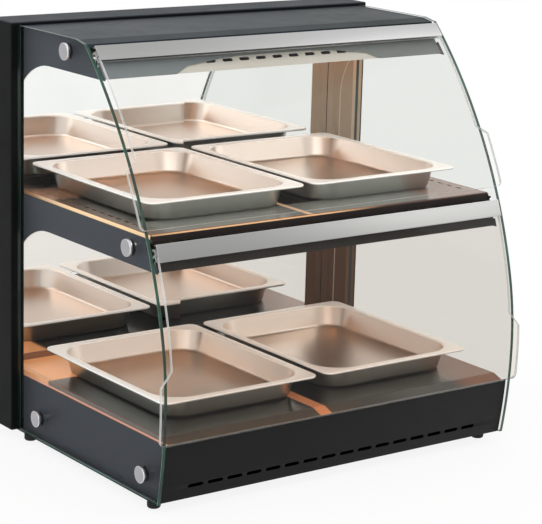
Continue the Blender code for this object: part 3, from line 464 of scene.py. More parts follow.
def rings(bm, loops, indexOf=None):
    # closed body through a row of rings with the same number of points
    made = [[bm.verts.new(p) for p in loop] for loop in loops]
    first = bm.faces.new(made[0])
    last = bm.faces.new(reversed(made[-1]))
    if indexOf:
        first.material_index = last.material_index = indexOf(-1)
    for a, b in zip(made, made[1:]):
        for i in range(len(a)):
            j = (i + 1) % len(a)
            face = bm.faces.new((a[j], a[i], b[i], b[j]))
            if indexOf:
                face.material_index = indexOf(i)


def arc(centre, radius, start, end, steps):
    return [
        (
            centre[0] + radius * math.cos(start + (end - start) * i / steps),
            centre[1] + radius * math.sin(start + (end - start) * i / steps),
        )
        for i in range(steps + 1)
    ]


def circle(centre, radius, steps):
    return arc(centre, radius, 0.0, 2 * math.pi, steps)[:-1]


def slotShape(x, z, length, height, steps=8):
    reach = (length - height) / 2
    right = arc((x + reach, z), height / 2, -math.pi / 2, math.pi / 2, steps)
    return right + arc((x - reach, z), height / 2, math.pi / 2, 1.5 * math.pi, steps)


def filleted(path, radii, steps=6):
    # rounds the inner corners of a path
    out = [Vector(path[0])]
    for i in range(1, len(path) - 1):
        corner = Vector(path[i])
        a = (Vector(path[i - 1]) - corner).normalized()
        b = (Vector(path[i + 1]) - corner).normalized()
        half = math.acos(max(-1.0, min(1.0, a.dot(b)))) / 2
        run = radii[i - 1] / math.tan(half)
        centre = corner + (a + b).normalized() * (radii[i - 1] / math.sin(half))
        p, q = corner + a * run - centre, corner + b * run - centre
        turn = math.atan2(p.x * q.y - p.y * q.x, p.dot(q))
        for k in range(steps + 1):
            c, s = math.cos(turn * k / steps), math.sin(turn * k / steps)
            out.append(centre + Vector((p.x * c - p.y * s, p.x * s + p.y * c)))
    out.append(Vector(path[-1]))
    return out


# the curved front line, three arcs that meet smoothly

curve = {"bellyY": -0.2282, "bellyZ": 0.1542, "lower": 0.732, "middle": 0.448, "upper": 0.744, "turn": 13.2}
middleCentre = Vector((curve["bellyY"] + curve["middle"], curve["bellyZ"]))
lean = math.radians(curve["turn"])
upperCentre = middleCentre + (curve["upper"] - curve["middle"]) * Vector((math.cos(lean), -math.sin(lean)))
lowerCentre = Vector((curve["bellyY"] + curve["lower"], curve["bellyZ"]))


def frontAt(z, offset=0.0, further=0.0):
    # the front line's point at height z, moved outwards
    if z <= curve["bellyZ"]:
        centre, radius = lowerCentre, curve["lower"]
    elif z <= middleCentre.y + (curve["middle"] + offset) * math.sin(lean):
        centre, radius = middleCentre, curve["middle"]
    else:
        centre, radius = upperCentre, curve["upper"]
    turn = math.asin((z - centre.y) / (radius + offset))
    reach = radius + offset + further
    return (centre.x - reach * math.cos(turn), centre.y + reach * math.sin(turn))


def frontLine(low, high, offset=0.0, step=0.004):
    count = math.ceil((high - low) / step)
    return [frontAt(low + (high - low) * i / count, offset) for i in range(count + 1)]


# side glass

sideGlass = {
    "inner": 0.305, "outer": 0.310, "foot": 0.016, "top": 0.617, "noseDrop": 0.004, "noseBack": 0.0031,
    "noseRun": 0.0207, "back": 0.1652, "edgeRadius": 0.0003, "boltHole": 0.0063, "holeSteps": 32,
    "cutterReach": 0.4,
}
boltPlaces = {
    "top": (frontAt(0.5985)[0] + 0.0541, 0.5985), "shelf": (frontAt(0.358)[0] + 0.0423, 0.358),
    "base_rear": (0.0975, 0.0525), "base_front": (-0.1838, 0.0525),
}
paneLook = {"index": 1.45, "gain": 0.14}
paneEdgeLook = {
    "deep": "#04190f", "pale": "#0d4c34", "roughness": 0.25, "coat": 0.1, "through": "#9fc4b4", "body": 0.95,
    "rear": "#0b211a", "rearReach": (0.15, 0.163),
}
# bevels of the left pane: bright colours as a painted highlight, darker at the rear
paneArrisLook = {
    "deep": "#267a58", "pale": "#9fc9bb", "roughness": 0.2, "coat": 0.3, "through": "#ffffff", "body": 0.8,
    "rear": "#15392c", "rearReach": (0.15, 0.163),
}
paneFaces = {
    side: clearPane(f"{side}GlassFace", {**paneLook, "tint": tint})
    for side, tint in (("left", "#fdfefe"), ("right", "#f5f6f5"))
}
paneEdge = glassEdge("sideGlassEdge", paneEdgeLook)
paneArris = glassEdge("sideGlassArris", paneArrisLook)


def sidePane(side, sign):
    g = sideGlass
    noseY = frontAt(g["top"] - g["noseDrop"])[0] + g["noseBack"]
    outline = frontLine(g["foot"], g["top"] - g["noseDrop"])
    outline += [
        (noseY, g["top"] - g["noseDrop"]), (noseY + g["noseRun"], g["top"]), (g["back"], g["top"]),
        (g["back"], g["foot"]),
    ]
    bm = bmesh.new()
    swept(bm, outline, *sorted((sign * g["inner"], sign * g["outer"])))
    pane = piece(
        f"sidePane.{side}", bm, [paneFaces[side], paneEdge, paneArris], "case",
        [f"side_glass_{side}"], 20,
    )
    holes = bmesh.new()
    for y, z in boltPlaces.values():
        swept(holes, circle((y, z), g["boltHole"], g["holeSteps"]), -g["cutterReach"], g["cutterReach"])
    cut(pane, holes)
    soften(pane, g["edgeRadius"], 1)
    settle(pane)
    # 0 for the clear sides and the drilled holes, 1 for the edge, 2 for the left pane's bevels, which carry a
    # painted highlight
    for polygon in pane.data.polygons:
        across = abs(polygon.normal.x)
        place = Vector(polygon.center.yz)
        drilled = any((place - Vector(hole)).length < 1.3 * g["boltHole"] for hole in boltPlaces.values())
        polygon.material_index = 0 if across > 0.95 or drilled else 2 if sign < 0 and across > 0.3 else 1


for side, sign in (("left", -1), ("right", 1)):
    sidePane(side, sign)
print("display case: side glass")


# hinged front glass

flapGlass = {
    "half": 0.299, "earHalf": 0.317, "thickness": 0.005, "gap": 0.0003, "corner": 0.008, "edgeRadius": 0.0005,
    "slotTop": 0.0045, "axisInset": 0.0035, "step": 0.004, "notchSteps": 3, "cornerSteps": 8,
    "upper": {"axisZ": 0.597, "notchHigh": 0.470, "notchLow": 0.4585, "bottom": 0.385},
    "lower": {"axisZ": 0.3558, "notchHigh": 0.205, "notchLow": 0.185, "bottom": 0.103},
}
flapLook = {"index": 1.45, "gain": 0.4}
flapEdgeLook = {
    "deep": "#d3d8d5", "pale": "#f6f5f2", "dim": "#5d6263", "roughness": 0.15, "coat": 0.6, "through": "#eef3f2",
    "body": 0.6,
}
# bevels of the hinged glass: near white as a painted highlight, dim where seen through the pane
flapArrisLook = {
    "deep": "#f2efec", "pale": "#ffffff", "dim": "#777b79", "roughness": 0.2, "coat": 0.6, "through": "#ffffff",
    "body": 0.9,
}
flapFaces = {
    "upper": clearPane("upperFlapFace", {**flapLook, "tint": "#fcfcfb"}),
    "lower": clearPane("lowerFlapFace", {**flapLook, "tint": "#f5f2ef"}),
}
flapEdge = glassEdge("flapGlassEdge", flapEdgeLook)
flapArris = glassEdge("flapGlassArris", flapArrisLook)


def flapPane(tier):
    g = flapGlass
    sizes = g[tier]
    turn = math.asin((sizes["axisZ"] - upperCentre.y) / (curve["upper"] - g["axisInset"]))
    top = upperCentre.y + curve["upper"] * math.sin(turn - (g["slotTop"] + g["gap"]) / curve["upper"])
    count = math.ceil((top - sizes["notchHigh"]) / g["step"])
    rows = [(top + (sizes["notchHigh"] - top) * i / count, g["half"]) for i in range(count + 1)]
    drop, steps = sizes["notchHigh"] - sizes["notchLow"], g["notchSteps"]
    for i in range(1, steps + 1):
        rows.append((sizes["notchHigh"] - drop * i / steps, g["half"] + (g["earHalf"] - g["half"]) * i / steps))
    start = sizes["bottom"] + g["corner"]
    count = math.ceil((sizes["notchLow"] - start) / g["step"])
    reach = start - sizes["notchLow"]
    rows += [(sizes["notchLow"] + reach * i / count, g["earHalf"]) for i in range(1, count + 1)]
    for i in range(1, g["cornerSteps"] + 1):
        a = math.pi / 2 * i / g["cornerSteps"]
        rows.append((start - g["corner"] * math.sin(a), g["earHalf"] - g["corner"] * (1 - math.cos(a))))
    loops = []
    for z, half in rows:
        near, far = frontAt(z, g["gap"]), frontAt(z, g["gap"], g["thickness"])
        loops.append([(-half, *near), (half, *near), (half, *far), (-half, *far)])
    bm = bmesh.new()
    rings(bm, loops, lambda i: 0 if i in (0, 2) else 1)
    pane = piece(
        f"flapPane.{tier}", bm, [flapFaces[tier], flapEdge, flapArris], f"{tier}_flap",
        [f"{tier}_flap_glass"], 30,
    )
    soften(pane, g["edgeRadius"], 1, slotIndex=2, angle=60)
    settle(pane)


for tier in ("upper", "lower"):
    flapPane(tier)
print("display case: hinged glass")


# base panel with its row of air slots

basePanel = {
    "half": 0.3047, "inset": 0.0035, "sheet": 0.0012, "low": 0.016, "high": 0.101, "slots": 16, "pitch": 0.0325,
    "slotLength": 0.0253, "slotHeight": 0.0052, "slotZ": 0.0345, "shift": -0.004, "edgeRadius": 0.0004,
    "cutter": (-0.3, -0.15),
}
basePaintLook = {
    **coatLook, "colour": "#171717", "edgeColour": "#6a6a6a", "roughness": 0.55, "sheen": 0.15, "mottleScale": 9.0,
    "edgeHighlight": 0.3,
}
basePaint = powderCoat("basePaint", basePaintLook)


def buildBasePanel():
    b = basePanel
    face = frontLine(b["low"], b["high"], -b["inset"])
    back = frontLine(b["low"], b["high"], -b["inset"] - b["sheet"])
    bm = bmesh.new()
    swept(bm, face + back[::-1], -b["half"], b["half"])
    panel = piece("basePanel", bm, [basePaint], "case", ["base_front_panel"], 30)
    first = b["shift"] - b["pitch"] * (b["slots"] - 1) / 2
    holes = bmesh.new()
    for i in range(b["slots"]):
        shape = slotShape(first + b["pitch"] * i, b["slotZ"], b["slotLength"], b["slotHeight"])
        swept(holes, shape, *b["cutter"], "Y")
    cut(panel, holes)
    soften(panel, b["edgeRadius"], angle=50)
    settle(panel)


buildBasePanel()
print("display case: base panel")


# stand-off bolts that hold the side glass

bolt = {
    "discRadius": 0.012, "disc": 0.0047, "neckRadius": 0.0112, "neck": 0.0045, "shank": 0.006, "thread": 0.003,
    "glassFace": 0.3103, "panelFace": 0.2993, "threadEnd": 0.294, "edge": 0.0006, "washer": 0.0009,
    "groove": 0.0012, "flare": (0.0004, 0.0008), "steps": 56,
}
washerAndShadeLook = {"colour": "#1b1b1c", "edgeColour": "#39393a", "roughness": 0.5, "grain": 0.1}


def spunDisc(name, look):
    # disc face turned on a lathe: fine rings about its centre
    face = Look(name)
    centred = face.vectorMath("SUBTRACT", face.coords("Generated"), (0.5, 0.5, 0.5))
    radius = face.vectorMath("LENGTH", face.vectorMath("MULTIPLY", centred, (0, 1, 1)), out="Value")
    turned = face.add(
        "ShaderNodeTexNoise", {"noise_dimensions": "1D"}, {"W": radius, "Scale": 70.0, "Detail": 3.0}
    )
    return face.done(
        face.shader(
            Base_Color=face.mix(turned.ramp(0.3, 0.7), tone(look["deep"]), tone(look["pale"])),
            Metallic=1.0,
            Roughness=0.24 + turned * 0.16,
            Normal=face.bump(turned, 0.15, 0.0001),
        )
    )


boltChrome = polishedMetal("boltChrome", {"colour": "#e9e9ee", "roughness": 0.18})
boltWasherAndShade = mouldedPlastic("boltWasherAndShade", washerAndShadeLook)
boltFace = spunDisc("boltFace", {"deep": "#9c9a9e", "pale": "#b6b4b8"})


def buildBolt(side, sign, name, y, z):
    b = bolt
    face, panel, end = (b[k] for k in ("glassFace", "panelFace", "threadEnd"))
    neck, disc = b["neckRadius"], b["discRadius"]
    discStart = face + b["neck"]
    discEnd = discStart + b["disc"]
    e, groove = b["edge"], b["groove"]
    back, dip = b["flare"]
    profile = [
        (end, b["thread"] - e), (end + e, b["thread"]), (panel, b["thread"]), (panel, b["shank"]),
        (face, b["shank"]), (face, neck), (face + b["washer"], neck), (face + b["washer"], neck - groove),
        (discStart - groove, neck - groove), (discStart - back, neck - dip), (discStart, neck),
        (discStart, disc - e), (discStart + e * 0.3, disc - e * 0.3), (discStart + e, disc),
        (discEnd - e, disc), (discEnd - e * 0.3, disc - e * 0.3), (discEnd, disc - e),
    ]
    loops = []
    for x, radius in profile:
        loops.append([(sign * x, py, pz) for py, pz in circle((y, z), radius, b["steps"])])
    bm = bmesh.new()
    rings(bm, loops)
    made = piece(
        f"bolt.{side}.{name}", bm, [boltChrome, boltFace, boltWasherAndShade], "case",
        [f"knob_{side}_{name}"], 30,
    )
    settle(made)
    # 1 for the disc's face, 2 for the dark ring behind the disc, a black washer whose size and darkness also stand
    # for painted shade behind the disc
    for polygon in made.data.polygons:
        x = abs(polygon.center.x)
        if abs(x - discEnd) < 1e-5:
            polygon.material_index = 1
        elif face - 1e-5 < x < discStart - 1e-5:
            polygon.material_index = 2


for side, sign in (("left", -1), ("right", 1)):
    for name, (y, z) in boltPlaces.items():
        buildBolt(side, sign, name, y, z)
print("display case: bolts")


# pans

pan = {
    "width": 0.265, "depth": 0.325, "height": 0.033, "gap": 0.0135, "rim": 0.012, "lip": 0.003, "draft": 0.0085,
    "corner": 0.014, "wallCorner": 0.046, "sheet": 0.001, "deckTop": 0.1073, "shelfTop": 0.3773,
    "lowerFront": -0.1697, "upperFront": -0.1262, "floorFillet": 0.005, "wallFillet": 0.0025, "lipFillet": 0.0013,
    "floorReach": 0.045, "cornerSteps": 14,
}
# the warm tint of the inside, the bright rim and its glow are painted lamp light; the greyer walls are painted shade
panLook = {
    "colour": "#efdfd3", "scratch": "#fbf7f4", "scratchTurns": (0.5, -0.8, 1.4), "wallLow": "#94948f",
    "wallHigh": "#b5b6b2", "rimColour": "#fffaf4", "rimGlow": 0.18, "roughness": 0.3,
}


def panSteel(name, look):
    # drawn steel: satin inside with knife scratches, outer walls greyer as painted shade and lighter towards the
    # top, a rim painted bright with a painted glow
    steel = Look(name)
    cloud = steel.noise(6.0, 3.0, 0.5).ramp(0.25, 0.75)
    marks = []
    for k, turn in enumerate(look["scratchTurns"]):
        spun = steel.add(
            "ShaderNodeVectorRotate", {"rotation_type": "Z_AXIS"}, {"Vector": steel.coords(), "Angle": turn}
        )
        mark = steel.noise(1.0, 1.0, 0.5, stretch=(5, 420, 60), shift=(k, 2 * k, 0), vector=spun)
        marks.append(mark.ramp(0.74, 0.78))
    scratch = marks[0].most(marks[1]).most(marks[2])
    fine = steel.noise(1.0, 2.0, 0.6, stretch=(60, 700, 700))
    place = steel.coords("Generated")
    fromMiddle = steel.vectorMath("SUBTRACT", place, (0.5, 0.5, 0.5))
    flat = steel.vectorMath("MULTIPLY", fromMiddle, (1, 1, 0))
    outward = steel.vectorMath("DOT_PRODUCT", flat, steel.coords("Normal"), "Value").ramp(0.1, 0.25)
    rise = steel.axis("Z", place)
    base = steel.mix(cloud, tone(look["colour"], 0.94), tone(look["colour"]))
    base = steel.mix(scratch * 0.2, base, tone(look["scratch"]))
    wall = steel.mix(rise.ramp(0.0, 0.75), tone(look["wallLow"]), tone(look["wallHigh"]))
    base = steel.mix(outward, base, wall)
    rim = rise.ramp(0.93, 0.955)
    base = steel.mix(rim, base, tone(look["rimColour"]))
    return steel.done(
        steel.shader(
            Base_Color=base,
            Metallic=1.0 - rim * 0.85,
            Emission_Color=steel.mix(rim, black, tone(look["rimColour"], look["rimGlow"])),
            Emission_Strength=1.0,
            Roughness=look["roughness"] + cloud * 0.03 + scratch * 0.06 + (fine - 0.5) * 0.05,
            Normal=steel.bump(fine + scratch * 0.5, 0.02, 0.00005),
        )
    )


panFinish = panSteel("panSteel", panLook)


def buildPan(name, x, front, base):
    p = pan
    top = base + p["height"]
    floor = base + p["sheet"]
    low = p["rim"] + p["draft"]
    upperSide = filleted(
        [(p["floorReach"], floor), (low, floor), (p["rim"], top), (0.0, top), (0.0, top - p["lip"])],
        (p["floorFillet"], p["wallFillet"], p["lipFillet"]),
    )
    underSide = []
    for i, point in enumerate(upperSide):
        along = (upperSide[min(i + 1, len(upperSide) - 1)] - upperSide[max(i - 1, 0)]).normalized()
        underSide.append(point + Vector((-along.y, along.x)) * p["sheet"])
    centre = (x, front + p["depth"] / 2)

    def ring(inset, z):
        # small corners on the rim's own edge, wide ones on the drawn body
        radius = p["corner"] - inset if inset < p["rim"] / 2 else p["wallCorner"] + p["rim"] - inset
        w, d = p["width"] / 2 - inset, p["depth"] / 2 - inset
        points = []
        for sx, sy, start in ((1, -1, -0.5), (1, 1, 0.0), (-1, 1, 0.5), (-1, -1, 1.0)):
            corner = (centre[0] + sx * (w - radius), centre[1] + sy * (d - radius))
            points += arc(corner, radius, start * math.pi, (start + 0.5) * math.pi, p["cornerSteps"])
        return [(px, py, z) for px, py in points]

    bm = bmesh.new()
    rings(bm, [ring(*q) for q in upperSide] + [ring(*q) for q in reversed(underSide)])
    settle(piece(name.replace("_", "."), bm, [panFinish], "case", [name], 50))


panX = (pan["width"] + pan["gap"]) / 2
for tier, base in (("lower", pan["deckTop"]), ("upper", pan["shelfTop"])):
    for side, x in (("left", -panX), ("right", panX)):
        buildPan(f"{tier}_pan_{side}", x, pan[f"{tier}Front"], base)
print("display case: pans")


# hinged aluminium rails that hold the front glass

rail = {
    "half": 0.3007, "face": 0.0109, "wall": 0.0018, "top": 0.0105, "return": 0.005, "slotTop": 0.0045,
    "slotBack": 0.0035, "back": 0.012, "barrel": 0.006, "bore": 0.0031, "hook": 112.0, "web": 40.0,
    "bottom": {"upper": 0.0122, "lower": 0.0134}, "edgeRadius": 0.0004,
}
# rails: the colour fades lighter across X as painted light
railLook = {
    "brush": (2.5, 900, 900), "colour": "#a5a5a4", "farColour": "#c6c5c5", "fadeAcross": (-0.3, 0.28),
    "streak": 0.05, "cloud": 0.1, "cloudScale": 3.0, "cloudColour": "#aaaaae", "edgeShine": 0.9,
    "edgeSize": 0.0013, "roughness": 0.4, "depth": 0.03, "metallic": 1.0,
}
# the lower rail's darker colours are painted shade on the same aluminium
lowerRailLook = {**railLook, "colour": "#929290", "farColour": "#b6b6b3"}
railMetals = {
    "upper": brushedMetal("railAluminium", railLook),
    "lower": brushedMetal("lowerRailAluminium", lowerRailLook),
}


def buildRail(tier):
    # profile about the hinge axis: u runs down along the front line, n outwards
    r = rail
    reach = curve["upper"] - flapGlass["axisInset"]
    turn = math.asin((flapGlass[tier]["axisZ"] - upperCentre.y) / reach)
    outward = Vector((-math.cos(turn), math.sin(turn)))
    down = Vector((-math.sin(turn), -math.cos(turn)))

    def at(u, n):
        return tuple(upperCentre + outward * (reach + n) + down * u)

    def bend(radius, start, end, steps):
        turns = [start + (end - start) * i / steps for i in range(steps + 1)]
        return [at(radius * math.sin(a), radius * math.cos(a)) for a in turns]

    face, wall, low = r["face"], r["face"] - r["wall"], r["bottom"][tier]
    backWall = r["slotBack"] - r["wall"]
    hook, web = math.radians(r["hook"]), math.radians(r["web"])
    outline = [at(-r["top"], face), at(low, face), at(low + r["wall"] / 2, face - r["wall"] / 2), at(low, wall)]
    outline += [at(r["slotTop"], wall), at(r["slotTop"], r["slotBack"])]
    outline += [at(r["back"], r["slotBack"]), at(r["back"], backWall)]
    # open hook about the fixed bead
    outline += bend(r["barrel"], math.acos(backWall / r["barrel"]), hook, 4)
    outline += bend(r["bore"], hook, -hook, 24)
    outline += bend(r["barrel"], -hook, -web, 8)
    outline += [at(-r["barrel"] * math.sin(web), wall), at(r["wall"] - r["top"], wall)]
    outline += [at(r["wall"] - r["top"], face - r["return"]), at(-r["top"], face - r["return"])]
    bm = bmesh.new()
    swept(bm, outline, -r["half"], r["half"])
    made = piece(f"rail.{tier}", bm, [railMetals[tier]], f"{tier}_flap", [f"{tier}_rail"], 30)
    soften(made, r["edgeRadius"], angle=35)
    settle(made)


for tier in ("upper", "lower"):
    buildRail(tier)
print("display case: rails")


# finishes of the remaining solids

# hinge beads: darker colours as painted shade, fading lighter across X as painted light
beadLook = {**railLook, "colour": "#5c5c5f", "farColour": "#8f8f92", "edgeShine": 0.3}
deckLook = {
    "brush": (2.5, 900, 900), "colour": "#7b7872", "streak": 0.12, "cloud": 0.5, "cloudScale": 5.0,
    "cloudColour": "#6b675f", "edgeShine": 0.5, "edgeSize": 0.0006, "roughness": 0.16, "depth": 0.04,
    "metallic": 1.0,
    "spots": (
        # painted shade: the front strip of the deck darker
        {"y": (-0.30, -0.1990, 0.0015), "share": 0.93, "colour": "#4d4c47"},
        # painted lamp light with a glow: the orange patch at the back left
        {"x": (-0.35, -0.215, 0.006), "y": (0.097, 0.2095, 0.004), "share": 1.0, "colour": "#e39d66", "glow": 0.4},
        # painted lamp light with a faint glow: the brown right end
        {"x": (0.225, 0.35, 0.025), "y": (-0.30, 0.3, 0.02), "share": 0.92, "colour": "#8a5838", "glow": 0.05},
        # painted reflection with a glow: the orange stripe in front of the gap between the pans
        {"x": (-0.042, -0.022, 0.0015), "y": (-0.30, -0.10, 0.008), "z": (0.09, 0.2, 0.0002), "share": 0.95,
         "colour": "#dd8f60", "glow": 0.2},
        # painted lamp light with a glow: the pale line along the left edge of the floor
        {"x": (-0.30, -0.2905, 0.0003), "y": (-0.222, 0.3, 0.002), "z": (0.09, 0.1012, 0.0006), "share": 0.95,
         "colour": "#e0a085", "glow": 0.15},
        # painted lamp light, darker and brown: the upturned left edge above the floor
        {"x": (-0.30, -0.289, 0.001), "z": (0.1008, 0.2, 0.0004), "share": 0.5, "colour": "#6b4a3c"},
    ),
}
shelfLook = {
    **deckLook, "colour": "#a39e97", "cloudColour": "#918b83",
    "spots": (
        # painted lamp light with a glow: the orange patch at the back left
        {"x": (-0.35, -0.235, 0.02), "y": (0.09, 0.16, 0.01), "share": 0.7, "colour": "#c2845a", "glow": 0.1},
        # painted reflection with a faint glow: the pans' walls seen in the strip in front of them
        {"x": (-0.27, 0.35, 0.02), "y": (-0.1635, -0.095, 0.004), "share": 0.85, "colour": "#a0a39c", "glow": 0.05},
        # painted lamp light with a faint glow: the brown right end
        {"x": (0.20, 0.35, 0.02), "y": (-0.30, 0.10, 0.03), "share": 0.85, "colour": "#94674d", "glow": 0.05},
        # painted lamp light with a faint glow: an orange tint along the left side
        {"x": (-0.31, -0.275, 0.012), "share": 0.3, "colour": "#c98a58", "glow": 0.05},
        # painted reflection with a glow: the pale stripe in front of the gap between the pans
        {"x": (-0.0315, -0.0225, 0.001), "y": (-0.30, -0.05, 0.006), "share": 0.9, "colour": "#f3c9a2", "glow": 0.3},
        # painted shade: the dark brown front strip
        {"y": (-0.30, -0.162, 0.0008), "share": 0.85, "colour": "#5a3524"},
        # painted lamp light with a glow: the orange line behind the front edge
        {"x": (-0.30, 0.10, 0.06), "y": (-0.1660, -0.1630, 0.0006), "share": 0.95, "colour": "#b9733f", "glow": 0.2},
        # painted highlight with a glow: the pale front edge
        {"x": (-0.30, 0.05, 0.06), "y": (-0.30, -0.1665, 0.0006), "share": 1.0, "colour": "#f0bd8c", "glow": 0.3},
        # painted lamp light with a glow: the orange-brown left edge
        {"x": (-0.30, -0.2935, 0.0012), "share": 0.8, "colour": "#8f5c38", "glow": 0.08},
        # painted highlight with a glow: the pale line along the left edge
        {"x": (-0.2985, -0.2965, 0.0006), "y": (-0.30, 0.1, 0.09), "share": 1.0, "colour": "#f6cf9e", "glow": 0.3},
    ),
}
# lamp housings: the pale cream colour is painted lamp light on the steel
housingLook = {
    **deckLook, "colour": "#dbd6cc", "cloudColour": "#cfc8be", "edgeShine": 0.3, "roughness": 0.5, "metallic": 0.35,
    "spots": (),
}
# colours of the painted lamp light on inward walls: low, high and at the top of the upper tier
jambLook = {"low": "#5a4334", "high": "#9d8a75", "head": "#bd8d68"}
# rear frame: painted lamp light on its inward walls and on its front face at the right side
frameLook = {
    **coatLook, "colour": "#0e0f11", "edgeColour": "#34363a",
    "jamb": {**jambLook, "front": (0.29, 0.3165, 0.001), "glow": 0.5},
    "spots": ({"z": (0.6195, 0.63, 0.0004), "share": 0.9, "colour": "#32383d"},),
}
# side panels: painted light makes them paler towards the top; the spot is a painted lit strip on front-facing faces
# near the back
panelLook = {
    **coatLook, "colour": "#34373e", "topColour": "#44484f", "fade": (0.05, 0.62), "edgeColour": "#565a63",
    "sheen": 0.15, "jamb": {**jambLook, "glow": 0.3},
    "spots": (
        {"side": (0, -1, 0), "y": (0.1, 0.2, 0.001), "z": (0.1, 0.6, 0.002), "share": 0.9,
         "colour": "#e9dfd0", "glow": 0.15},
    ),
}
# roof: painted light fading darker across X, painted shade on the front band, painted lamp light with a glow on the
# underside
roofLook = {
    **coatLook, "colour": "#363d43", "farColour": "#283132", "edgeColour": "#5d6265", "roughness": 0.45,
    "sheen": 0.08,
    "spots": (
        {"y": (-0.30, -0.0375, 0.001), "share": 0.8, "colour": "#15181b"},
        {"side": (0, 0, -1), "share": 1.0, "colour": "#8d8a82", "glow": 0.25},
    ),
}
# upper fascia: painted light fading across X, and painted lamp light with a glow on its back face
fasciaLook = {
    **coatLook, "colour": "#7c8385", "farColour": "#7f8380", "edgeColour": "#a0a2a0",
    "spots": ({"side": (0, 1, 0), "share": 1.0, "colour": "#8d8a82", "glow": 0.25},),
}
trimLook = {**coatLook, "colour": "#2e2826", "edgeColour": "#6b625d", "sheen": 0.15}
lowerFasciaLook = {**coatLook, "colour": "#353331", "edgeColour": "#6a6662"}
# tracks: painted lamp light on the warm edges and on the glowing spot at the left end
trackLook = {
    **coatLook, "colour": "#191817", "edgeColour": "#8a6a52", "roughness": 0.4, "sheen": 0.3,
    "spots": (
        {"x": (-0.35, -0.205, 0.01), "y": (0.20, 0.2113, 0.0004), "z": (0.10, 0.14, 0.001), "share": 0.95,
         "colour": "#96684d", "glow": 0.12},
    ),
}
plasticLook = {"colour": "#1f1f21", "edgeColour": "#6a6a6e", "roughness": 0.4, "grain": 0.2, "print": "#dcdcd8"}
rubberLook = {"colour": "#141414", "edgeColour": "#2a2a2a", "roughness": 0.75, "grain": 0.3}
mirrorLook = {
    "colour": "#ffffff", "haze": "#f6f6f6", "edge": "#2c5a4c", "roughness": 0.02, "back": "#4f5559",
    "backPale": "#5d6468",
}

beadMetal = brushedMetal("beadAluminium", beadLook)
deckMetal = brushedMetal("deckStainless", deckLook)
shelfMetal = brushedMetal("shelfStainless", shelfLook)
housingMetal = brushedMetal("housingSteel", housingLook)
framePaint = powderCoat("framePaint", frameLook)
panelPaint = powderCoat("panelPaint", panelLook)
roofPaint = powderCoat("roofPaint", roofLook)
fasciaPaint = powderCoat("fasciaPaint", fasciaLook)
lowerFasciaPaint = powderCoat("lowerFasciaPaint", lowerFasciaLook)
trimPaint = powderCoat("trimPaint", trimLook)
trackPaint = powderCoat("trackPaint", trackLook)

# printed marks of the controls: a scale of ten strokes over three quarters of a turn, the dial's
# pointer at the scale's start, and a bar and a ring on the rocker
control = {
    "dialX": 0.065, "dialZ": 0.063, "rockerX": -0.005, "scale": (0.0198, 0.0226), "pitch": 30.0, "stroke": 0.045,
    "start": -45.0, "end": -135.0, "pointer": (0.0055, 0.0138), "pointerHalf": 0.0007, "faceY": 0.2215,
    "bar": (0.0662, 0.0702), "barHalf": 0.0005, "ringZ": 0.0577, "ring": (0.0012, 0.0019), "soft": 0.0001,
}


def dialScale(plastic):
    c = control
    x, z = plastic.axis("X") - c["dialX"], plastic.axis("Z") - c["dialZ"]
    turn = z.calc("ARCTAN2", z, x) * math.degrees(1.0)
    place = (turn - c["start"] + c["pitch"] / 2) / c["pitch"]
    stroke = 1 - abs(place.calc("FRACT", place) - 0.5).ramp(c["stroke"], c["stroke"] * 1.3)
    sweep = 1 - turn.band(c["end"] + 3, c["start"] - 3, 0.5)
    return stroke * sweep * ((x * x + z * z) ** 0.5).band(*c["scale"], c["soft"])


def dialPointer(plastic):
    c = control
    x, z = plastic.axis("X") - c["dialX"], plastic.axis("Z") - c["dialZ"]
    turn = math.radians(c["start"])
    along = x * math.cos(turn) + z * math.sin(turn)
    across = x * math.sin(-turn) + z * math.cos(turn)
    line = along.band(*c["pointer"], c["soft"]) * across.band(-c["pointerHalf"], c["pointerHalf"], c["soft"])
    return line * plastic.axis("Y").ramp(c["faceY"], c["faceY"] + 0.001)


def rockerMarks(plastic):
    c = control
    x, z = plastic.axis("X") - c["rockerX"], plastic.axis("Z")
    bar = x.band(-c["barHalf"], c["barHalf"], c["soft"]) * z.band(*c["bar"], c["soft"])
    low = z - c["ringZ"]
    return bar.most(((x * x + low * low) ** 0.5).band(*c["ring"], c["soft"]))


scalePlastic = mouldedPlastic("scalePlastic", plasticLook, dialScale)
dialPlastic = mouldedPlastic("dialPlastic", plasticLook, dialPointer)
rockerPlastic = mouldedPlastic("rockerPlastic", plasticLook, rockerMarks)
blackPlastic = mouldedPlastic("controlPlastic", plasticLook)
blackRubber = mouldedPlastic("footRubber", rubberLook)
doorMirror = mirrorPane("doorMirror", mirrorLook)


def heaterSkin(name, look):
    # sheathed heating tube: dull grey with bluish heat tint
    skin = Look(name)
    tint = skin.noise(9.0, 3.0, 0.6).ramp(0.35, 0.65)
    return skin.done(
        skin.shader(
            Base_Color=skin.mix(tint, tone(look["grey"]), tone(look["blue"])),
            Metallic=0.8,
            Roughness=0.4 + tint * 0.15,
            Normal=skin.bump(skin.noise(900.0), 0.1, 0.0001),
        )
    )


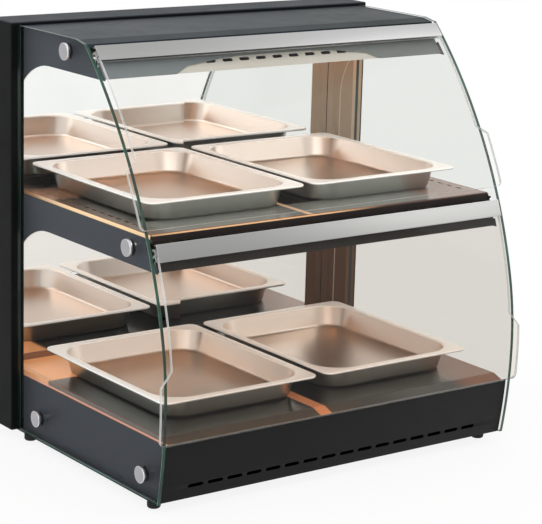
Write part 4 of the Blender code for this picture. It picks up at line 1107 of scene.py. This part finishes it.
def lampQuartz(name, look):
    # quartz tube between pale ceramic ends: a dark reflecting coat leaves a clear strip below,
    # where the glowing coil shows
    tube = Look(name)
    along = abs(tube.axis("X"))
    end = along.ramp(look["glowEnd"] - look["fade"], look["glowEnd"])
    coat = tube.facing((0, 0, 1)).ramp(*look["clearStrip"])
    coil = tube.add(
        "ShaderNodeTexWave", {"bands_direction": "X"}, {"Vector": tube.coords(), "Scale": 90.0, "Distortion": 0.3}
    )
    base = tube.mix(coat, tone(look["tube"]), tone(look["coat"]))
    base = tube.mix(end, base, tone(look["ceramic"]))
    dark = end.most(coat)
    glow = tube.mix(coil, tone(look["glow"], 0.5), tone(look["glow"]))
    return tube.done(
        tube.shader(
            Base_Color=base,
            Roughness=0.15 + end * 0.5,
            Emission_Color=tube.mix(dark, glow, black),
            Emission_Strength=look["power"],
        )
    )


lampLook = {
    "tube": "#ffd9ad", "coat": "#2a211c", "ceramic": "#8f8a82", "glow": "#ffae6c", "glowEnd": 0.214, "power": 11.0,
    "fade": 0.004, "clearStrip": (-0.96, -0.9),
}
heaterLook = {"grey": "#3a3531", "blue": "#54545e"}
lampGlass = lampQuartz("lampQuartz", lampLook)

finishes = {
    "rear_frame": framePaint, "side_panel_left": panelPaint, "side_panel_right": panelPaint, "roof": roofPaint,
    "base_floor": framePaint, "deck": deckMetal, "shelf": shelfMetal, "shelf_trim": trimPaint,
    "upper_lamp_housing": housingMetal, "lower_lamp_housing": housingMetal, "upper_fascia": fasciaPaint,
    "lower_fascia": lowerFasciaPaint, "deck_heater": heaterSkin("heaterSkin", heaterLook),
    "upper_hinge_bead": beadMetal, "lower_hinge_bead": beadMetal,
    "control_recess": scalePlastic, "thermostat": blackPlastic, "thermostat_dial": dialPlastic,
    "switch_bezel": blackPlastic, "switch_rocker": rockerPlastic, "power_inlet": blackPlastic,
}
for name in nodes:
    if name.startswith("foot_"):
        finishes[name] = blackRubber
    elif name.endswith("_pull"):
        finishes[name] = blackPlastic
    elif "_track_" in name:
        finishes[name] = trackPaint
    elif "_door_" in name:
        finishes[name] = doorMirror
    elif "_lamp_" in name and not name.endswith("housing"):
        finishes[name] = lampGlass
for name, material in finishes.items():
    for slot in nodes[name].material_slots:
        slot.material = material
print("display case: finishes assigned")


# floor, light and camera

studio = {
    "floorColour": "#f7f7f7", "floorShare": 0.12, "floorRadius": 6.0, "floorSteps": 64, "fade": (0.30, 0.80),
    "ambient": 0.80, "aim": (0, 0, 0.3),
}
softboxes = {
    "keySoftbox": {"place": (-1.6, -1.9, 2.3), "size": 2.8, "power": 26.0},
    "fillSoftbox": {"place": (2.2, -1.2, 1.6), "size": 2.0, "power": 10.0},
}
view = {"place": (-1.7790, -2.4563, 1.0083), "turn": -36.308, "rise": 13.672, "roll": 1.6757, "lens": 140.33}


def seenWhite(look):
    # 1 for what the camera sees, straight or in a reflection
    kinds = ("Is Camera Ray", "Is Glossy Ray", "Is Transmission Ray")
    camera, glossy, through = (look.add("ShaderNodeLightPath", out=kind) for kind in kinds)
    return camera.most(glossy).most(through)


def buildFloor():
    # pale floor that keeps the case's shadow and turns to the white of the backdrop further out
    bm = bmesh.new()
    rim = circle((0, 0), studio["floorRadius"], studio["floorSteps"])
    bm.faces.new([bm.verts.new((x, y, 0.0)) for x, y in rim])
    mesh = bpy.data.meshes.new("floor")
    bm.to_mesh(mesh)
    bm.free()
    ground = bpy.data.objects.new("floor", mesh)
    bpy.context.scene.collection.objects.link(ground)
    look = Look("floorPaper")
    far = look.vectorMath("LENGTH", look.coords(), out="Value").ramp(*studio["fade"])
    pale = look.mix(look.noise(300.0, 2.0), tone(studio["floorColour"]), tone(studio["floorColour"], 0.98))
    paper = look.shader(Base_Color=pale, Roughness=0.9)
    white = look.add("ShaderNodeEmission", {}, {"Color": (1, 1, 1, 1), "Strength": 1.0})
    share = seenWhite(look) * ((1 - studio["floorShare"]) + far * studio["floorShare"])
    mesh.materials.append(look.done(look.blendShaders(share, paper, white)))


def buildWorld():
    world = bpy.data.worlds.new("studio")
    bpy.context.scene.world = world
    look = Look("studio", world)
    light = look.add("ShaderNodeBackground", {}, {"Color": (1, 1, 1, 1), "Strength": studio["ambient"]})
    white = look.add("ShaderNodeBackground", {}, {"Color": (1, 1, 1, 1), "Strength": 1.0})
    look.done(look.blendShaders(seenWhite(look), light, white))


def buildSoftbox(name, box):
    light = bpy.data.lights.new(name, "AREA")
    light.shape = "SQUARE"
    light.size = box["size"]
    light.energy = box["power"]
    made = bpy.data.objects.new(name, light)
    bpy.context.scene.collection.objects.link(made)
    made.location = box["place"]
    made.rotation_euler = (Vector(studio["aim"]) - made.location).to_track_quat("-Z", "Y").to_euler()


def buildCamera():
    a, e, r = (math.radians(view[k]) for k in ("turn", "rise", "roll"))
    back = Vector((math.sin(a) * math.cos(e), -math.cos(a) * math.cos(e), math.sin(e)))
    right = Vector((math.cos(a), math.sin(a), 0.0))
    up = back.cross(right)
    right, up = right * math.cos(r) + up * math.sin(r), up * math.cos(r) - right * math.sin(r)
    data = bpy.data.cameras.new("photoView")
    data.lens = view["lens"]
    data.sensor_width = 36.0
    data.clip_end = 50.0
    made = bpy.data.objects.new("photoView", data)
    bpy.context.scene.collection.objects.link(made)
    turned = Matrix((right, up, back)).transposed().to_4x4()
    made.matrix_world = Matrix.Translation(view["place"]) @ turned
    bpy.context.scene.camera = made


buildFloor()
buildWorld()
for name, box in softboxes.items():
    buildSoftbox(name, box)
buildCamera()
bpy.context.scene.view_settings.view_transform = "Standard"
print("display case: studio")
